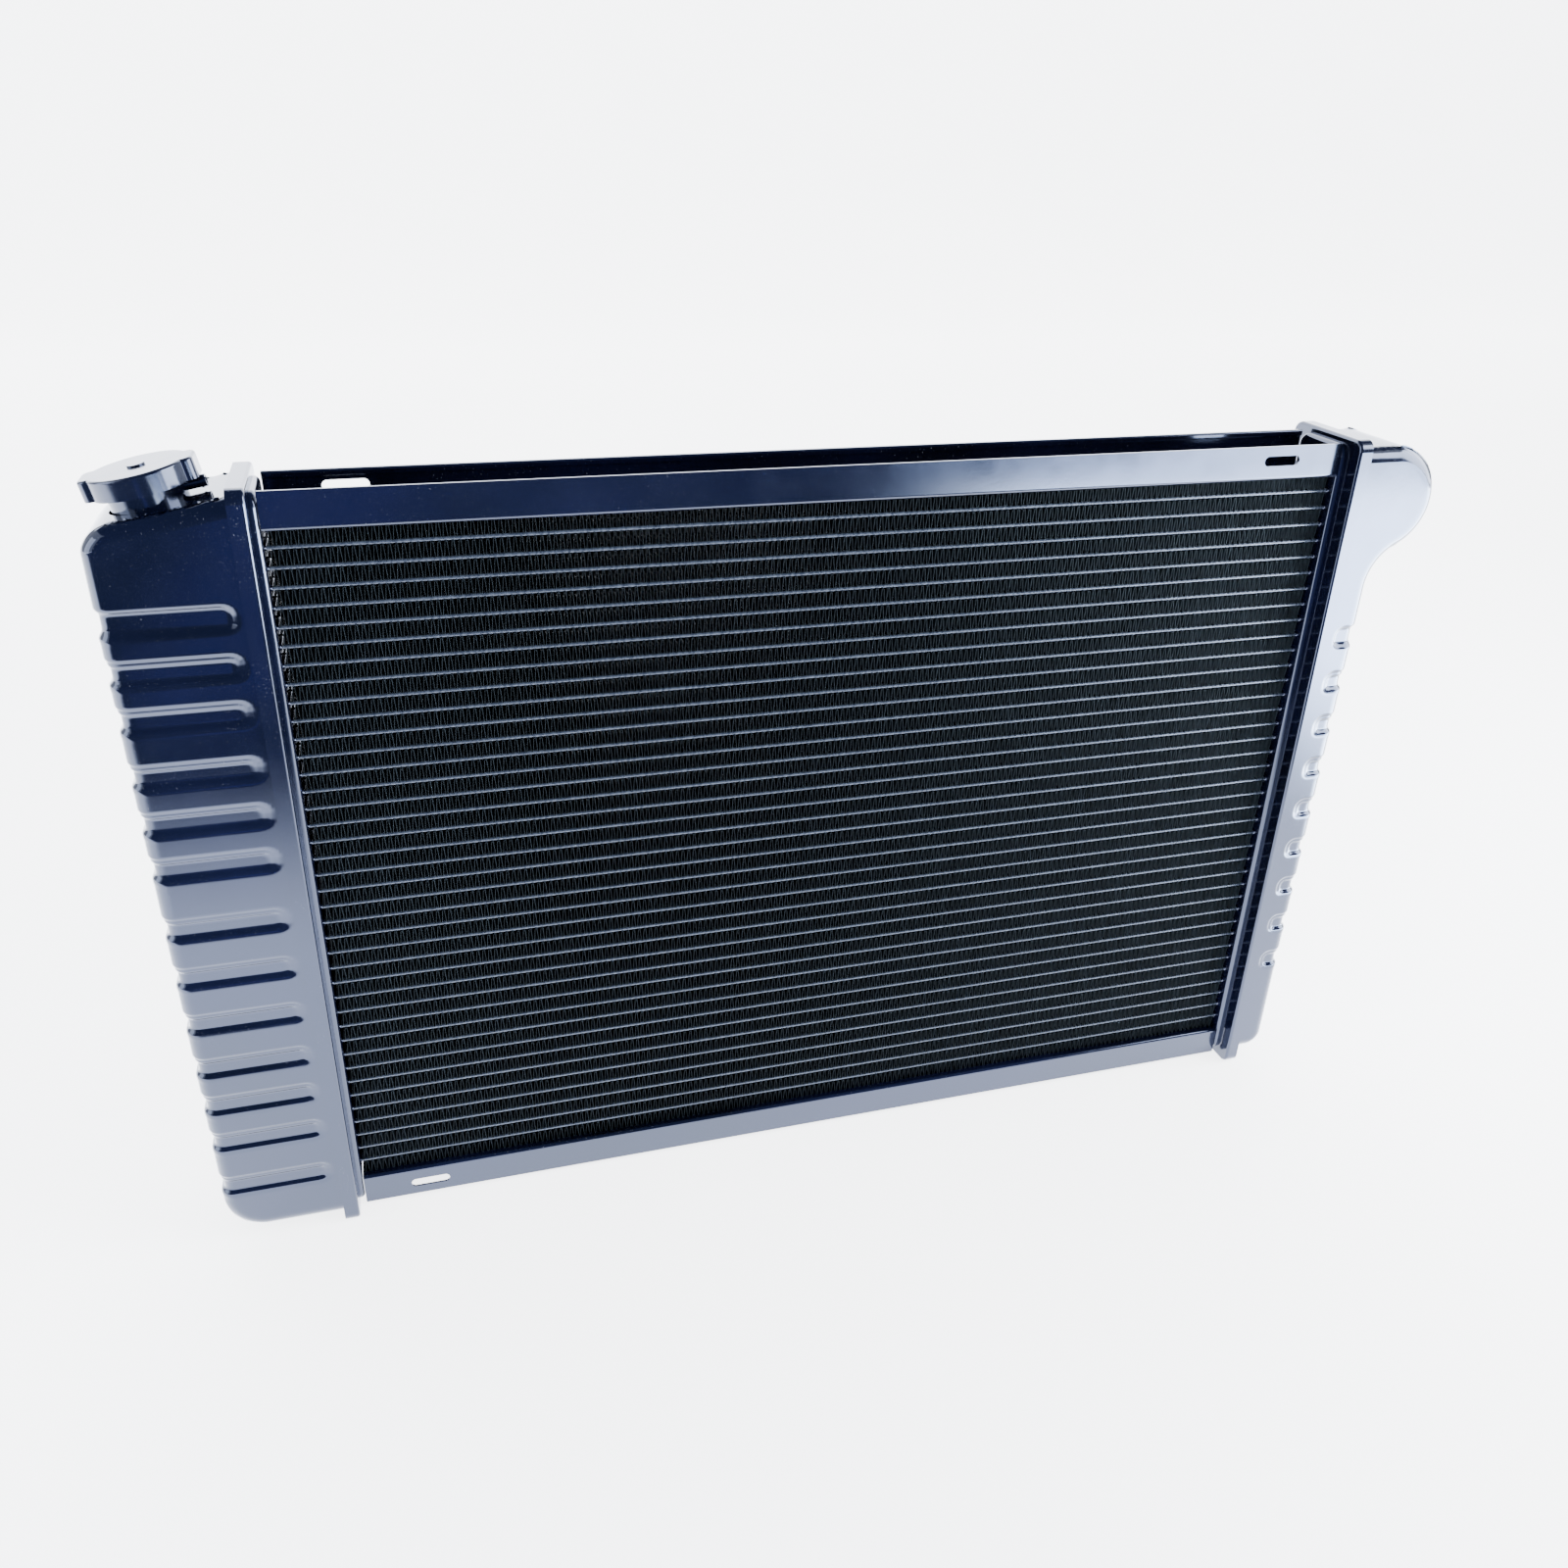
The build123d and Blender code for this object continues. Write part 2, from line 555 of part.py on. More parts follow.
def make_cap_core():
    """The pieces that hang from the cap's rivet inside the neck."""
    with BuildPart() as seal:
        add(ring(DISC_FOOT - UPPER_SEAL_THICKNESS, DISC_FOOT, DISC_RADIUS - SEAL_MARGIN,
                 FILLER_RADIUS - OVERCUT))
    finish(seal, "cap_upper_seal")

    bell_top = DISC_FOOT
    under_bell = bell_top - BELL_SHEET
    with BuildPart() as bell:
        add(ring(BELL_FOOT, bell_top, BELL_RADIUS, BELL_RADIUS - BELL_SHEET))
        add(ring(under_bell, bell_top, BELL_RADIUS, RIVET_RADIUS))
    finish(bell, "cap_bell")

    with BuildPart() as rivet:
        add(ring(under_bell - CAP_SHEET, CAP_TOP + CAP_SHEET, RIVET_RADIUS))
        add(ring(under_bell - CAP_SHEET, under_bell, RIVET_HEAD))
        add(ring(CAP_TOP + TURNING_CLEARANCE, CAP_TOP + CAP_SHEET, RIVET_HEAD))
    finish(rivet, "cap_rivet")

    low = VALVE_FOOT + BELL_SHEET + SPRING_WIRE
    high = under_bell - SPRING_WIRE
    with BuildPart() as spring:
        with BuildLine():
            coil = Helix(pitch=(high - low) / SPRING_COILS, height=high - low, radius=SPRING_RADIUS,
                         center=filler_plane(low).origin, direction=filler_plane(0).z_dir)
        with BuildSketch(Plane(origin=coil @ 0, z_dir=coil % 0)):
            Circle(SPRING_WIRE)
        sweep(is_frenet=True)
    finish(spring, "cap_spring")


def make_cap_valves():
    """The pressure valve with its seal, and the small vacuum valve in its middle."""
    with BuildPart() as valve:
        add(ring(VALVE_FOOT, VALVE_FOOT + BELL_SHEET, VALVE_RADIUS, VALVE_HOLE))
        add(ring(VALVE_FOOT, VALVE_TUBE_TOP, VALVE_TUBE_RADIUS, VALVE_TUBE_RADIUS - BELL_SHEET))
    finish(valve, "pressure_valve")

    with BuildPart() as seal:
        add(ring(VALVE_FOOT - LOWER_SEAL_THICKNESS, VALVE_FOOT, VALVE_RADIUS, SEAT_RADIUS + SEAL_MARGIN))
    finish(seal, "cap_lower_seal")

    closed = VALVE_FOOT - TURNING_CLEARANCE
    with BuildPart() as vacuum:
        add(ring(closed - BELL_SHEET, closed, VACUUM_DISC_RADIUS))
        add(ring(closed - BELL_SHEET, closed + 4 * SHEET, SHEET))
        add(ring(closed + 3 * SHEET, closed + 4 * SHEET, VALVE_HOLE - SEAL_MARGIN))
    finish(vacuum, "vacuum_valve")


# ---- oil cooler -------------------------------------------------------------------------------
def upright_tube(low, high, outer, inner=0.0):
    """Upright ring, or rod, on the cooler's axis between two heights from its middle."""
    return disc(level(COOLER_Z + low, COOLER_X, COOLER_Y), high - low, outer, inner)


def back_disc(y, x, z, radius, depth, inner=0.0):
    """Round plate or ring that faces the back, reaching rearwards from y."""
    plane = Plane(origin=(CORE_X + x, CORE_Y + y, CORE_Z + z), x_dir=(-1, 0, 0), z_dir=(0, 1, 0))
    return disc(plane, depth, radius, inner)


def make_oil_cooler():
    """Transmission oil cooler inside the left tank: an outer tube closed onto an inner one."""
    half = COOLER_LENGTH / 2
    with BuildPart() as outer:
        add(upright_tube(-half, half, COOLER_RADIUS, COOLER_RADIUS - COOLER_WALL))
        for low in (-half, half - COOLER_WALL):
            add(upright_tube(low, low + COOLER_WALL, COOLER_RADIUS, COOLER_CORE_RADIUS))
        for z in cooler_ports:
            port = back_disc(COOLER_Y + COOLER_CORE_RADIUS, COOLER_X, z, FITTING_BORE, COOLER_RADIUS)
            add(port, mode=Mode.SUBTRACT)
    finish(outer, "oil_cooler_outer_tube")

    with BuildPart() as inner:
        add(upright_tube(-half - SHEET, half + SHEET, COOLER_CORE_RADIUS,
                         COOLER_CORE_RADIUS - COOLER_WALL))
    finish(inner, "oil_cooler_inner_tube")


def make_cooler_fittings():
    """Threaded bosses from the cooler out through the tank's back, with their washers and nuts."""
    with BuildPart() as fittings:
        for z in cooler_ports:
            add(back_disc(COOLER_Y, COOLER_X, z, FITTING_RADIUS, FITTING_REACH - COOLER_Y, FITTING_BORE))
        rod = upright_tube(-COOLER_LENGTH / 2, COOLER_LENGTH / 2, COOLER_RADIUS)
        add(rod, mode=Mode.SUBTRACT)
    finish(fittings, "cooler_fittings")

    with BuildPart() as washers:
        for z in cooler_ports:
            add(back_disc(TANK_HALF_Y, COOLER_X, z, WASHER_RADIUS, WASHER_THICKNESS, FITTING_RADIUS))
    finish(washers, "cooler_washers")

    with BuildPart() as nuts:
        for z in cooler_ports:
            with BuildSketch(facing_front(TANK_HALF_Y + WASHER_THICKNESS, COOLER_X, z)):
                RegularPolygon(NUT_ACROSS_FLATS / 2, 6, major_radius=False)
                Circle(FITTING_RADIUS, mode=Mode.SUBTRACT)
            extrude(amount=-NUT_THICKNESS)
    finish(nuts, "cooler_nuts")


# ---- drain cock -------------------------------------------------------------------------------
def make_drain_cock():
    """Drain cock low on the right tank's back: bush, seal, and the screw with its wing."""
    inside = TANK_HALF_Y - PANEL_RECESS - TANK_WALL
    seat = inside + DRAIN_SEAT_DEPTH
    bush_end = TANK_HALF_Y + DRAIN_BUSH_LENGTH
    tip = seat + DRAIN_SEAL_THICKNESS
    bore = DRAIN_STEM_RADIUS + TURNING_CLEARANCE
    with BuildPart() as bush:
        add(back_disc(inside, DRAIN_X, DRAIN_Z, DRAIN_BUSH_RADIUS, bush_end - inside, DRAIN_PORT_RADIUS))
        add(back_disc(seat, DRAIN_X, DRAIN_Z, bore, bush_end - seat), mode=Mode.SUBTRACT)
        spout = disc(level(DRAIN_Z - DRAIN_BUSH_RADIUS, DRAIN_X, seat + DRAIN_SPOUT_OFFSET),
                     DRAIN_BUSH_RADIUS, DRAIN_SPOUT_RADIUS)
        add(spout, mode=Mode.SUBTRACT)
    finish(bush, "drain_bush")

    with BuildPart() as seal:
        add(back_disc(seat + TURNING_CLEARANCE, DRAIN_X, DRAIN_Z, DRAIN_STEM_RADIUS - SEAL_MARGIN,
                      DRAIN_SEAL_THICKNESS - TURNING_CLEARANCE))
    finish(seal, "drain_seal")

    wing_start = bush_end + DRAIN_WING_GAP
    with BuildPart() as screw:
        add(back_disc(tip, DRAIN_X, DRAIN_Z, DRAIN_STEM_RADIUS, wing_start + OVERCUT - tip))
        with BuildSketch(facing_front(wing_start, DRAIN_X, DRAIN_Z)):
            SlotOverall(DRAIN_WING_SPAN, DRAIN_WING_THICKNESS)
            Circle(DRAIN_STEM_RADIUS + OVERCUT)
        extrude(amount=-DRAIN_WING_DEPTH)
    finish(screw, "drain_screw")


# ---- the whole object -------------------------------------------------------------------------
left_steps = [LEFT_FIRST_STEP - sum(LEFT_STEP_GAPS[:i]) for i in range(len(LEFT_STEP_GAPS) + 1)]
right_steps = [RIGHT_FIRST_STEP - i * RIGHT_STEP_PITCH for i in range(RIGHT_PANELS)]
cooler_ports = (COOLER_Z - FITTING_HALF_SPACING, COOLER_Z + FITTING_HALF_SPACING)
left_bores = [(OUTLET_X, OUTLET_Z, OUTLET_RADIUS)]
left_bores += [(COOLER_X, z, FITTING_RADIUS) for z in cooler_ports]
right_bores = [(INLET_X, INLET_Z, INLET_RADIUS), (DRAIN_X, DRAIN_Z, DRAIN_BUSH_RADIUS)]

make_tube_row("front_tube_row", -TUBE_ROW_SPACING / 2)
make_tube_row("rear_tube_row", TUBE_ROW_SPACING / 2)
make_fin_strips()
make_channel("top_channel", 1)
make_channel("bottom_channel", -1)
make_header("left_header", -1)
make_header("right_header", 1)
make_tank("left_tank", -1, left_steps, LEFT_REACH, LEFT_TOP, LEFT_BOTTOM, left_bores)
make_tank("right_tank", 1, right_steps, RIGHT_BODY_REACH, RIGHT_TOP, RIGHT_BOTTOM, right_bores)
make_hose_neck("inlet_neck", INLET_X, INLET_Z, INLET_RADIUS)
make_hose_neck("outlet_neck", OUTLET_X, OUTLET_Z, OUTLET_RADIUS)
make_filler_neck()
make_overflow_nipple()
make_cap_shell()
make_cap_disc()
make_cap_core()
make_cap_valves()
make_oil_cooler()
make_cooler_fittings()
make_drain_cock()
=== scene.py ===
import math
import random

import bmesh
import bpy
import numpy as np
from mathutils import Matrix, Vector


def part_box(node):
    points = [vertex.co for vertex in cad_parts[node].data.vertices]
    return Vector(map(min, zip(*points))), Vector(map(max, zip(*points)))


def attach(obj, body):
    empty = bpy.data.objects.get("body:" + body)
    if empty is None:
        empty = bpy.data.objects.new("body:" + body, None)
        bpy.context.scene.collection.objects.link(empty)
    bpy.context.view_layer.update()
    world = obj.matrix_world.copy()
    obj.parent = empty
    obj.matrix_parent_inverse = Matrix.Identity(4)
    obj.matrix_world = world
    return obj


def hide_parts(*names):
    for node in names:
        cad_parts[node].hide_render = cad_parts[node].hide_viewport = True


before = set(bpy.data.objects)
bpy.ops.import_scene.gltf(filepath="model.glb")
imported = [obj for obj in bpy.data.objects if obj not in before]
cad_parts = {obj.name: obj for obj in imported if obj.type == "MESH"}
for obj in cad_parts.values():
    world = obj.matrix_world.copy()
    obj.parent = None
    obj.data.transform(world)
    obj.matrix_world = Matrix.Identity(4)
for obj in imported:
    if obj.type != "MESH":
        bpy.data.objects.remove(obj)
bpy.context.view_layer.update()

# A crossflow car radiator, in metres, built around its CAD frame.
# The CAD keeps tubes, channels, headers, necks, oil cooler, drain cock and cap. This script adds the folded
# fins, the pressed tank skins, the solder seams, every material, the studio and the camera.

MM = 0.001
random.seed(7)

# ---- places read from the frame ----------------------------------------------------------------
left_header_low, left_header_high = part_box("left_header")
right_header_low, right_header_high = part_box("right_header")
left_tank_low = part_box("left_tank")[0]
fins_low, fins_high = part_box("fin_strips")
core = Vector((
    (left_header_low.x + right_header_high.x) / 2,
    (left_header_low.y + left_header_high.y) / 2,
    (left_header_low.z + left_header_high.z) / 2,
))
half_width = right_header_low.x - core.x
rim_outer = right_header_high.x - core.x
rim_half_y = right_header_high.y - core.y
rim_half_z = right_header_high.z - core.z

SHEET = 1.2 * MM
TUBE_LAYERS = 39
TUBE_PITCH = 11.1125 * MM
TUBE_THICKNESS = 2.4 * MM
TUBE_WIDTH = 15.875 * MM
TUBE_ROW_SPACING = 17.6 * MM


def smooth(value):
    """Smooth step from 0 to 1 as the value goes from 0 to 1."""
    t = np.clip(value, 0.0, 1.0)
    return t * t * (3 - 2 * t)


def mesh_object(name, points, faces, body, material, smooth_angle):
    """New mesh piece that rides on a body. Edges over the angle, in degrees, stay sharp, unless it is 0."""
    mesh = bpy.data.meshes.new(name)
    mesh.from_pydata([tuple(p) for p in points], [], faces)
    mesh.update()
    piece = bpy.data.objects.new(name, mesh)
    bpy.context.collection.objects.link(piece)
    mesh.materials.append(material)
    mesh.polygons.foreach_set("use_smooth", [True] * len(mesh.polygons))
    if smooth_angle:
        mesh.set_sharp_from_angle(angle=math.radians(smooth_angle))
    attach(piece, body)
    return piece


# ---- materials ---------------------------------------------------------------------------------
class Shader:
    """A node material with short calls for adding nodes."""

    def __init__(self, name):
        self.material = bpy.data.materials.new(name)
        self.material.use_nodes = True
        self.tree = self.material.node_tree
        self.surface = self.tree.nodes["Principled BSDF"]
        self.place = self.add("ShaderNodeTexCoord").outputs["Object"]

    def add(self, kind, **values):
        node = self.tree.nodes.new(kind)
        for key, value in values.items():
            setattr(node, key, value)
        return node

    def link(self, output, target):
        self.tree.links.new(output, target)

    def stretched(self, x, y, z):
        """Object coordinates scaled along each axis."""
        mapping = self.add("ShaderNodeMapping")
        mapping.inputs["Scale"].default_value = (x, y, z)
        self.link(self.place, mapping.inputs["Vector"])
        return mapping.outputs["Vector"]

    def noise(self, scale, detail=3.0, vector=None):
        node = self.add("ShaderNodeTexNoise")
        node.inputs["Scale"].default_value = scale
        node.inputs["Detail"].default_value = detail
        self.link(vector or self.place, node.inputs["Vector"])
        return node.outputs["Fac"]

    def ramp(self, value, stops):
        """Map a 0 to 1 value to greys or colours at the given stops."""
        node = self.add("ShaderNodeValToRGB")
        elements = node.color_ramp.elements
        while len(elements) < len(stops):
            elements.new(0.5)
        for element, (position, colour) in zip(elements, stops):
            element.position = position
            element.color = (*colour, 1.0) if isinstance(colour, tuple) else (colour, colour, colour, 1.0)
        self.link(value, node.inputs["Fac"])
        return node.outputs["Color"]

    def mix(self, factor, first, second):
        """Blend two colours by a factor output."""
        node = self.add("ShaderNodeMix", data_type="RGBA")
        self.link(factor, node.inputs[0])
        for socket, colour in ((node.inputs[6], first), (node.inputs[7], second)):
            if isinstance(colour, tuple):
                socket.default_value = (*colour, 1.0)
            else:
                self.link(colour, socket)
        return node.outputs[2]

    def bump(self, height, strength, distance, under=None):
        node = self.add("ShaderNodeBump")
        node.inputs["Strength"].default_value = strength
        node.inputs["Distance"].default_value = distance
        self.link(height, node.inputs["Height"])
        if under:
            self.link(under, node.inputs["Normal"])
        return node.outputs["Normal"]

    def colour(self, output):
        self.link(output, self.surface.inputs["Base Color"])

    def roughness(self, output):
        self.link(output, self.surface.inputs["Roughness"])

    def normal(self, output):
        self.link(output, self.surface.inputs["Normal"])

    def set(self, **values):
        for key, value in values.items():
            self.surface.inputs[key.replace("_", " ")].default_value = value


PAINT_DARK = (0.0011, 0.0013, 0.0036)
PAINT_LIGHT = (0.0026, 0.0032, 0.012)
DUST_COLOUR = (0.42, 0.43, 0.45)


def gloss_paint(name, low, high, dust):
    """Black gloss paint: blue-black tint, orange peel and fine dust specks.
    Its roughness runs from low to high."""
    shader = Shader(name)
    tint = shader.ramp(shader.noise(9.0, 4.0), [(0.35, PAINT_DARK), (0.7, PAINT_LIGHT)])
    specks = shader.ramp(shader.noise(1300.0, 2.0), [(0.70, 0.0), (0.75, 1.0)])
    patches = shader.ramp(shader.noise(26.0, 3.0), [(0.42, 0.0), (0.70, 1.0)])
    dusty = shader.add("ShaderNodeMath", operation="MULTIPLY")
    shader.link(specks, dusty.inputs[0])
    shader.link(patches, dusty.inputs[1])
    amount = shader.add("ShaderNodeMath", operation="MULTIPLY")
    shader.link(dusty.outputs[0], amount.inputs[0])
    amount.inputs[1].default_value = dust
    shader.colour(shader.mix(amount.outputs[0], tint, DUST_COLOUR))
    shader.roughness(shader.ramp(shader.noise(60.0, 5.0), [(0.30, low), (0.72, high)]))
    peel = shader.bump(shader.noise(420.0, 2.0), 0.06, 0.00012)
    shader.normal(shader.bump(shader.noise(14.0, 2.0), 0.2, 0.0008, peel))
    shader.set(Specular_IOR_Level=0.9, Specular_Tint=(0.60, 0.70, 1.0, 1.0), Coat_Weight=0.3,
               Coat_Roughness=0.05, Coat_Tint=(0.72, 0.80, 1.0, 1.0))
    return shader.material


def fin_paint():
    """Thin black paint on folded foil: matte, with faint streaks along the folds."""
    shader = Shader("fin_paint")
    streaks = shader.noise(1.0, 3.0, shader.stretched(420.0, 30.0, 26.0))
    shader.colour(shader.ramp(streaks, [(0.30, (0.0045, 0.0065, 0.0085)), (0.72, (0.017, 0.024, 0.032))]))
    shader.roughness(shader.ramp(shader.noise(140.0, 3.0), [(0.3, 0.45), (0.7, 0.62)]))
    shader.normal(shader.bump(shader.noise(700.0, 2.0), 0.12, 0.0001))
    shader.set(Specular_IOR_Level=0.3, Specular_Tint=(0.72, 0.90, 1.0, 1.0))
    return shader.material


def tube_paint():
    """Satin black paint on the tube noses, broken up by the dip of paint at each fold."""
    shader = Shader("tube_paint")
    folds = shader.noise(1.0, 2.0, shader.stretched(560.0, 60.0, 60.0))
    shader.colour(shader.ramp(folds, [(0.3, (0.014, 0.019, 0.030)), (0.7, (0.040, 0.050, 0.070))]))
    shader.roughness(shader.ramp(folds, [(0.3, 0.20), (0.7, 0.34)]))
    shader.normal(shader.bump(folds, 0.22, 0.0002))
    shader.set(Specular_IOR_Level=0.8, Specular_Tint=(0.66, 0.76, 1.0, 1.0), Coat_Weight=0.2,
               Coat_Roughness=0.15)
    return shader.material


def bare_metal(name, dark, light, low, high):
    """Bare metal with a fine grain, tarnish and uneven polish."""
    shader = Shader(name)
    shader.colour(shader.ramp(shader.noise(70.0, 5.0), [(0.3, dark), (0.7, light)]))
    shader.roughness(shader.ramp(shader.noise(260.0, 4.0), [(0.3, low), (0.7, high)]))
    shader.normal(shader.bump(shader.noise(900.0, 3.0), 0.1, 0.00008))
    shader.set(Metallic=1.0)
    return shader.material


def seal_rubber():
    """Moulded black rubber with a dry bloom."""
    shader = Shader("seal_rubber")
    bloom = shader.noise(120.0, 4.0)
    shader.colour(shader.ramp(bloom, [(0.3, (0.010, 0.010, 0.010)), (0.75, (0.035, 0.035, 0.036))]))
    shader.roughness(shader.ramp(shader.noise(300.0, 3.0), [(0.3, 0.55), (0.7, 0.8)]))
    shader.normal(shader.bump(shader.noise(1500.0, 3.0), 0.15, 0.0001))
    return shader.material


sheet_paint = gloss_paint("sheet_paint", 0.10, 0.17, 0.55)
tank_paint = gloss_paint("tank_paint", 0.07, 0.14, 0.45)
cap_paint = gloss_paint("cap_paint", 0.12, 0.2, 0.35)
fin_material = fin_paint()
tube_material = tube_paint()
brass = bare_metal("tarnished_brass", (0.42, 0.29, 0.12), (0.74, 0.56, 0.28), 0.25, 0.45)
zinc = bare_metal("zinc_plate", (0.40, 0.39, 0.36), (0.66, 0.65, 0.62), 0.28, 0.48)
spring_steel = bare_metal("spring_steel", (0.34, 0.34, 0.35), (0.58, 0.58, 0.60), 0.22, 0.4)
rubber = seal_rubber()

NODE_MATERIALS = {
    sheet_paint: ("top_channel", "bottom_channel", "left_header", "right_header", "inlet_neck",
                  "outlet_neck", "filler_neck", "overflow_nipple"),
    cap_paint: ("cap_shell", "cap_rivet"),
    tube_material: ("front_tube_row", "rear_tube_row"),
    brass: ("cap_bell", "pressure_valve", "vacuum_valve", "oil_cooler_outer_tube", "oil_cooler_inner_tube",
            "cooler_fittings", "cooler_washers", "drain_bush", "drain_screw"),
    zinc: ("cooler_nuts",),
    spring_steel: ("cap_disc", "cap_spring"),
    rubber: ("cap_upper_seal", "cap_lower_seal", "drain_seal"),
}
for material, nodes in NODE_MATERIALS.items():
    for node in nodes:
        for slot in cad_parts[node].material_slots:
            slot.material = material


# ---- folded fins -------------------------------------------------------------------------------
FIN_PITCH = 1.85 * MM
FIN_FOIL = 0.13 * MM
FIN_CREST = 0.30
FIN_CREST_RISE = 0.22 * MM
FIN_CLEARANCE = 0.02 * MM
FIN_LOOSE = 2.0 * MM
FIN_WAVE = 3.0 * MM
FIN_WAVE_END = 8.0 * MM
FIN_SHIFT = 0.3
FIN_LEAN = 0.10
FIN_LEAN_PER_FOLD = 0.11
FIN_LEAN_PER_STRIP = 1.7
FIN_LEAN_JITTER = 0.05
FIN_SWAY = 0.35


def make_fins():
    """One long zigzag of foil between each pair of tube layers, waved from front to back.
    The loose ends reach a little past the CAD strips, towards the headers."""
    start_x = fins_low.x - FIN_LOOSE
    end_x = fins_high.x + FIN_LOOSE
    strips = TUBE_LAYERS + 1
    strip_height = TUBE_PITCH - TUBE_THICKNESS
    pitch = (fins_high.z - fins_low.z - strip_height) / (strips - 1)
    half_height = strip_height / 2 - FIN_CLEARANCE
    folds = int((end_x - start_x) / FIN_PITCH)
    step = (end_x - start_x - 2 * FIN_FOIL) / folds
    section = 6
    points = []
    faces = []
    for strip in range(strips):
        middle = fins_low.z + strip_height / 2 + strip * pitch
        shift = random.uniform(0.0, FIN_SHIFT)
        path = []
        for fold in range(folds):
            up = 1 if fold % 2 else -1
            x = start_x + FIN_FOIL + fold * step
            lean = FIN_LEAN * math.sin(fold * FIN_LEAN_PER_FOLD + strip * FIN_LEAN_PER_STRIP)
            lean += random.uniform(-FIN_LEAN_JITTER, FIN_LEAN_JITTER)
            for part in (0.0, FIN_CREST, 2 * FIN_CREST):
                height = half_height if part == FIN_CREST else half_height - FIN_CREST_RISE
                path.append((x + (part + (shift + lean) * FIN_SWAY) * step, middle + up * height))
        first = len(points)
        for index, (x, z) in enumerate(path):
            before = path[max(index - 1, 0)]
            after = path[min(index + 1, len(path) - 1)]
            along = Vector((after[0] - before[0], after[1] - before[1])).normalized()
            across = Vector((-along.y, along.x)) * FIN_FOIL / 2
            for sign in (-1, 1):
                px = min(max(x + sign * across.x, start_x), end_x)
                pz = min(max(z + sign * across.y, middle - half_height), middle + half_height)
                from_end = min(px - start_x, end_x - px)
                wave = FIN_WAVE * float(smooth(from_end / FIN_WAVE_END))
                points += [(px, fins_low.y, pz), (px + wave, core.y, pz), (px, fins_high.y, pz)]
        for index in range(len(path) - 1):
            a = first + section * index
            b = a + section
            for half in (0, 1):
                faces.append((a + half, b + half, b + half + 1, a + half + 1))
                faces.append((a + half + 3, a + half + 4, b + half + 4, b + half + 3))
            faces.append((a, a + 3, b + 3, b))
            faces.append((a + 2, b + 2, b + 5, a + 5))
        last = first + section * (len(path) - 1)
        faces.append((first, first + 1, first + 2, first + 5, first + 4, first + 3))
        faces.append((last, last + 3, last + 4, last + 5, last + 2, last + 1))
    fins = mesh_object("folded_fins", points, faces, "root", fin_material, 0)
    fins.data.polygons.foreach_set("use_smooth", [False] * len(fins.data.polygons))
    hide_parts("fin_strips")


# ---- pressed tanks -----------------------------------------------------------------------------
TANK_HALF_Y = 33.0 * MM
TANK_EDGE = 9.0 * MM
POCKET_DEPTH = 2.1 * MM
POCKET_CORNER = 8.0 * MM
LEDGE_RISE = 6.5 * MM
FIRST_STEP_RUN = 4.0 * MM
LIP_RUN = 1.9 * MM
LIP_SHARE = 0.45
LIP_GAP = 3.6 * MM
KNOB_HEIGHT = 0.6 * MM
KNOB_SPREAD = 2.6 * MM
LEFT_FIRST_STEP = 188.0 * MM
LEFT_GAPS = (27.5, 27.0, 33.0, 29.0, 29.0, 40.0, 33.5, 33.5, 33.0, 29.0, 29.5, 36.0)
RIGHT_FIRST_STEP = 122.0 * MM
RIGHT_GAP = 33.0 * MM
RIGHT_POCKETS = 9
POCKET_HEIGHT = 15.3 * MM
BOX_EASE = 0.05 * MM
POCKET_INSET = 3.0 * MM
PAD_MARGIN = 4.0 * MM
PAD_BLEND = 5.0 * MM
KNOB_SHARPNESS = 1.6
SLOPE_START = 4.0 * MM
SLOPE_END = 2.0 * MM
ROW_SPACING = 0.9 * MM
CORNER_ROWS = 22
OUTLINE_POINTS = 40
EDGE_COLUMNS = 13
BAND_COLUMNS = 9
WELD_DISTANCE = 0.001 * MM
SKIN_SMOOTH = 50
BORE_SEGMENTS = 64


def arc(radius, away):
    """How far a circle's edge is from its centre line at a distance from its centre."""
    return math.sqrt(max(radius**2 - away**2, 0.0))


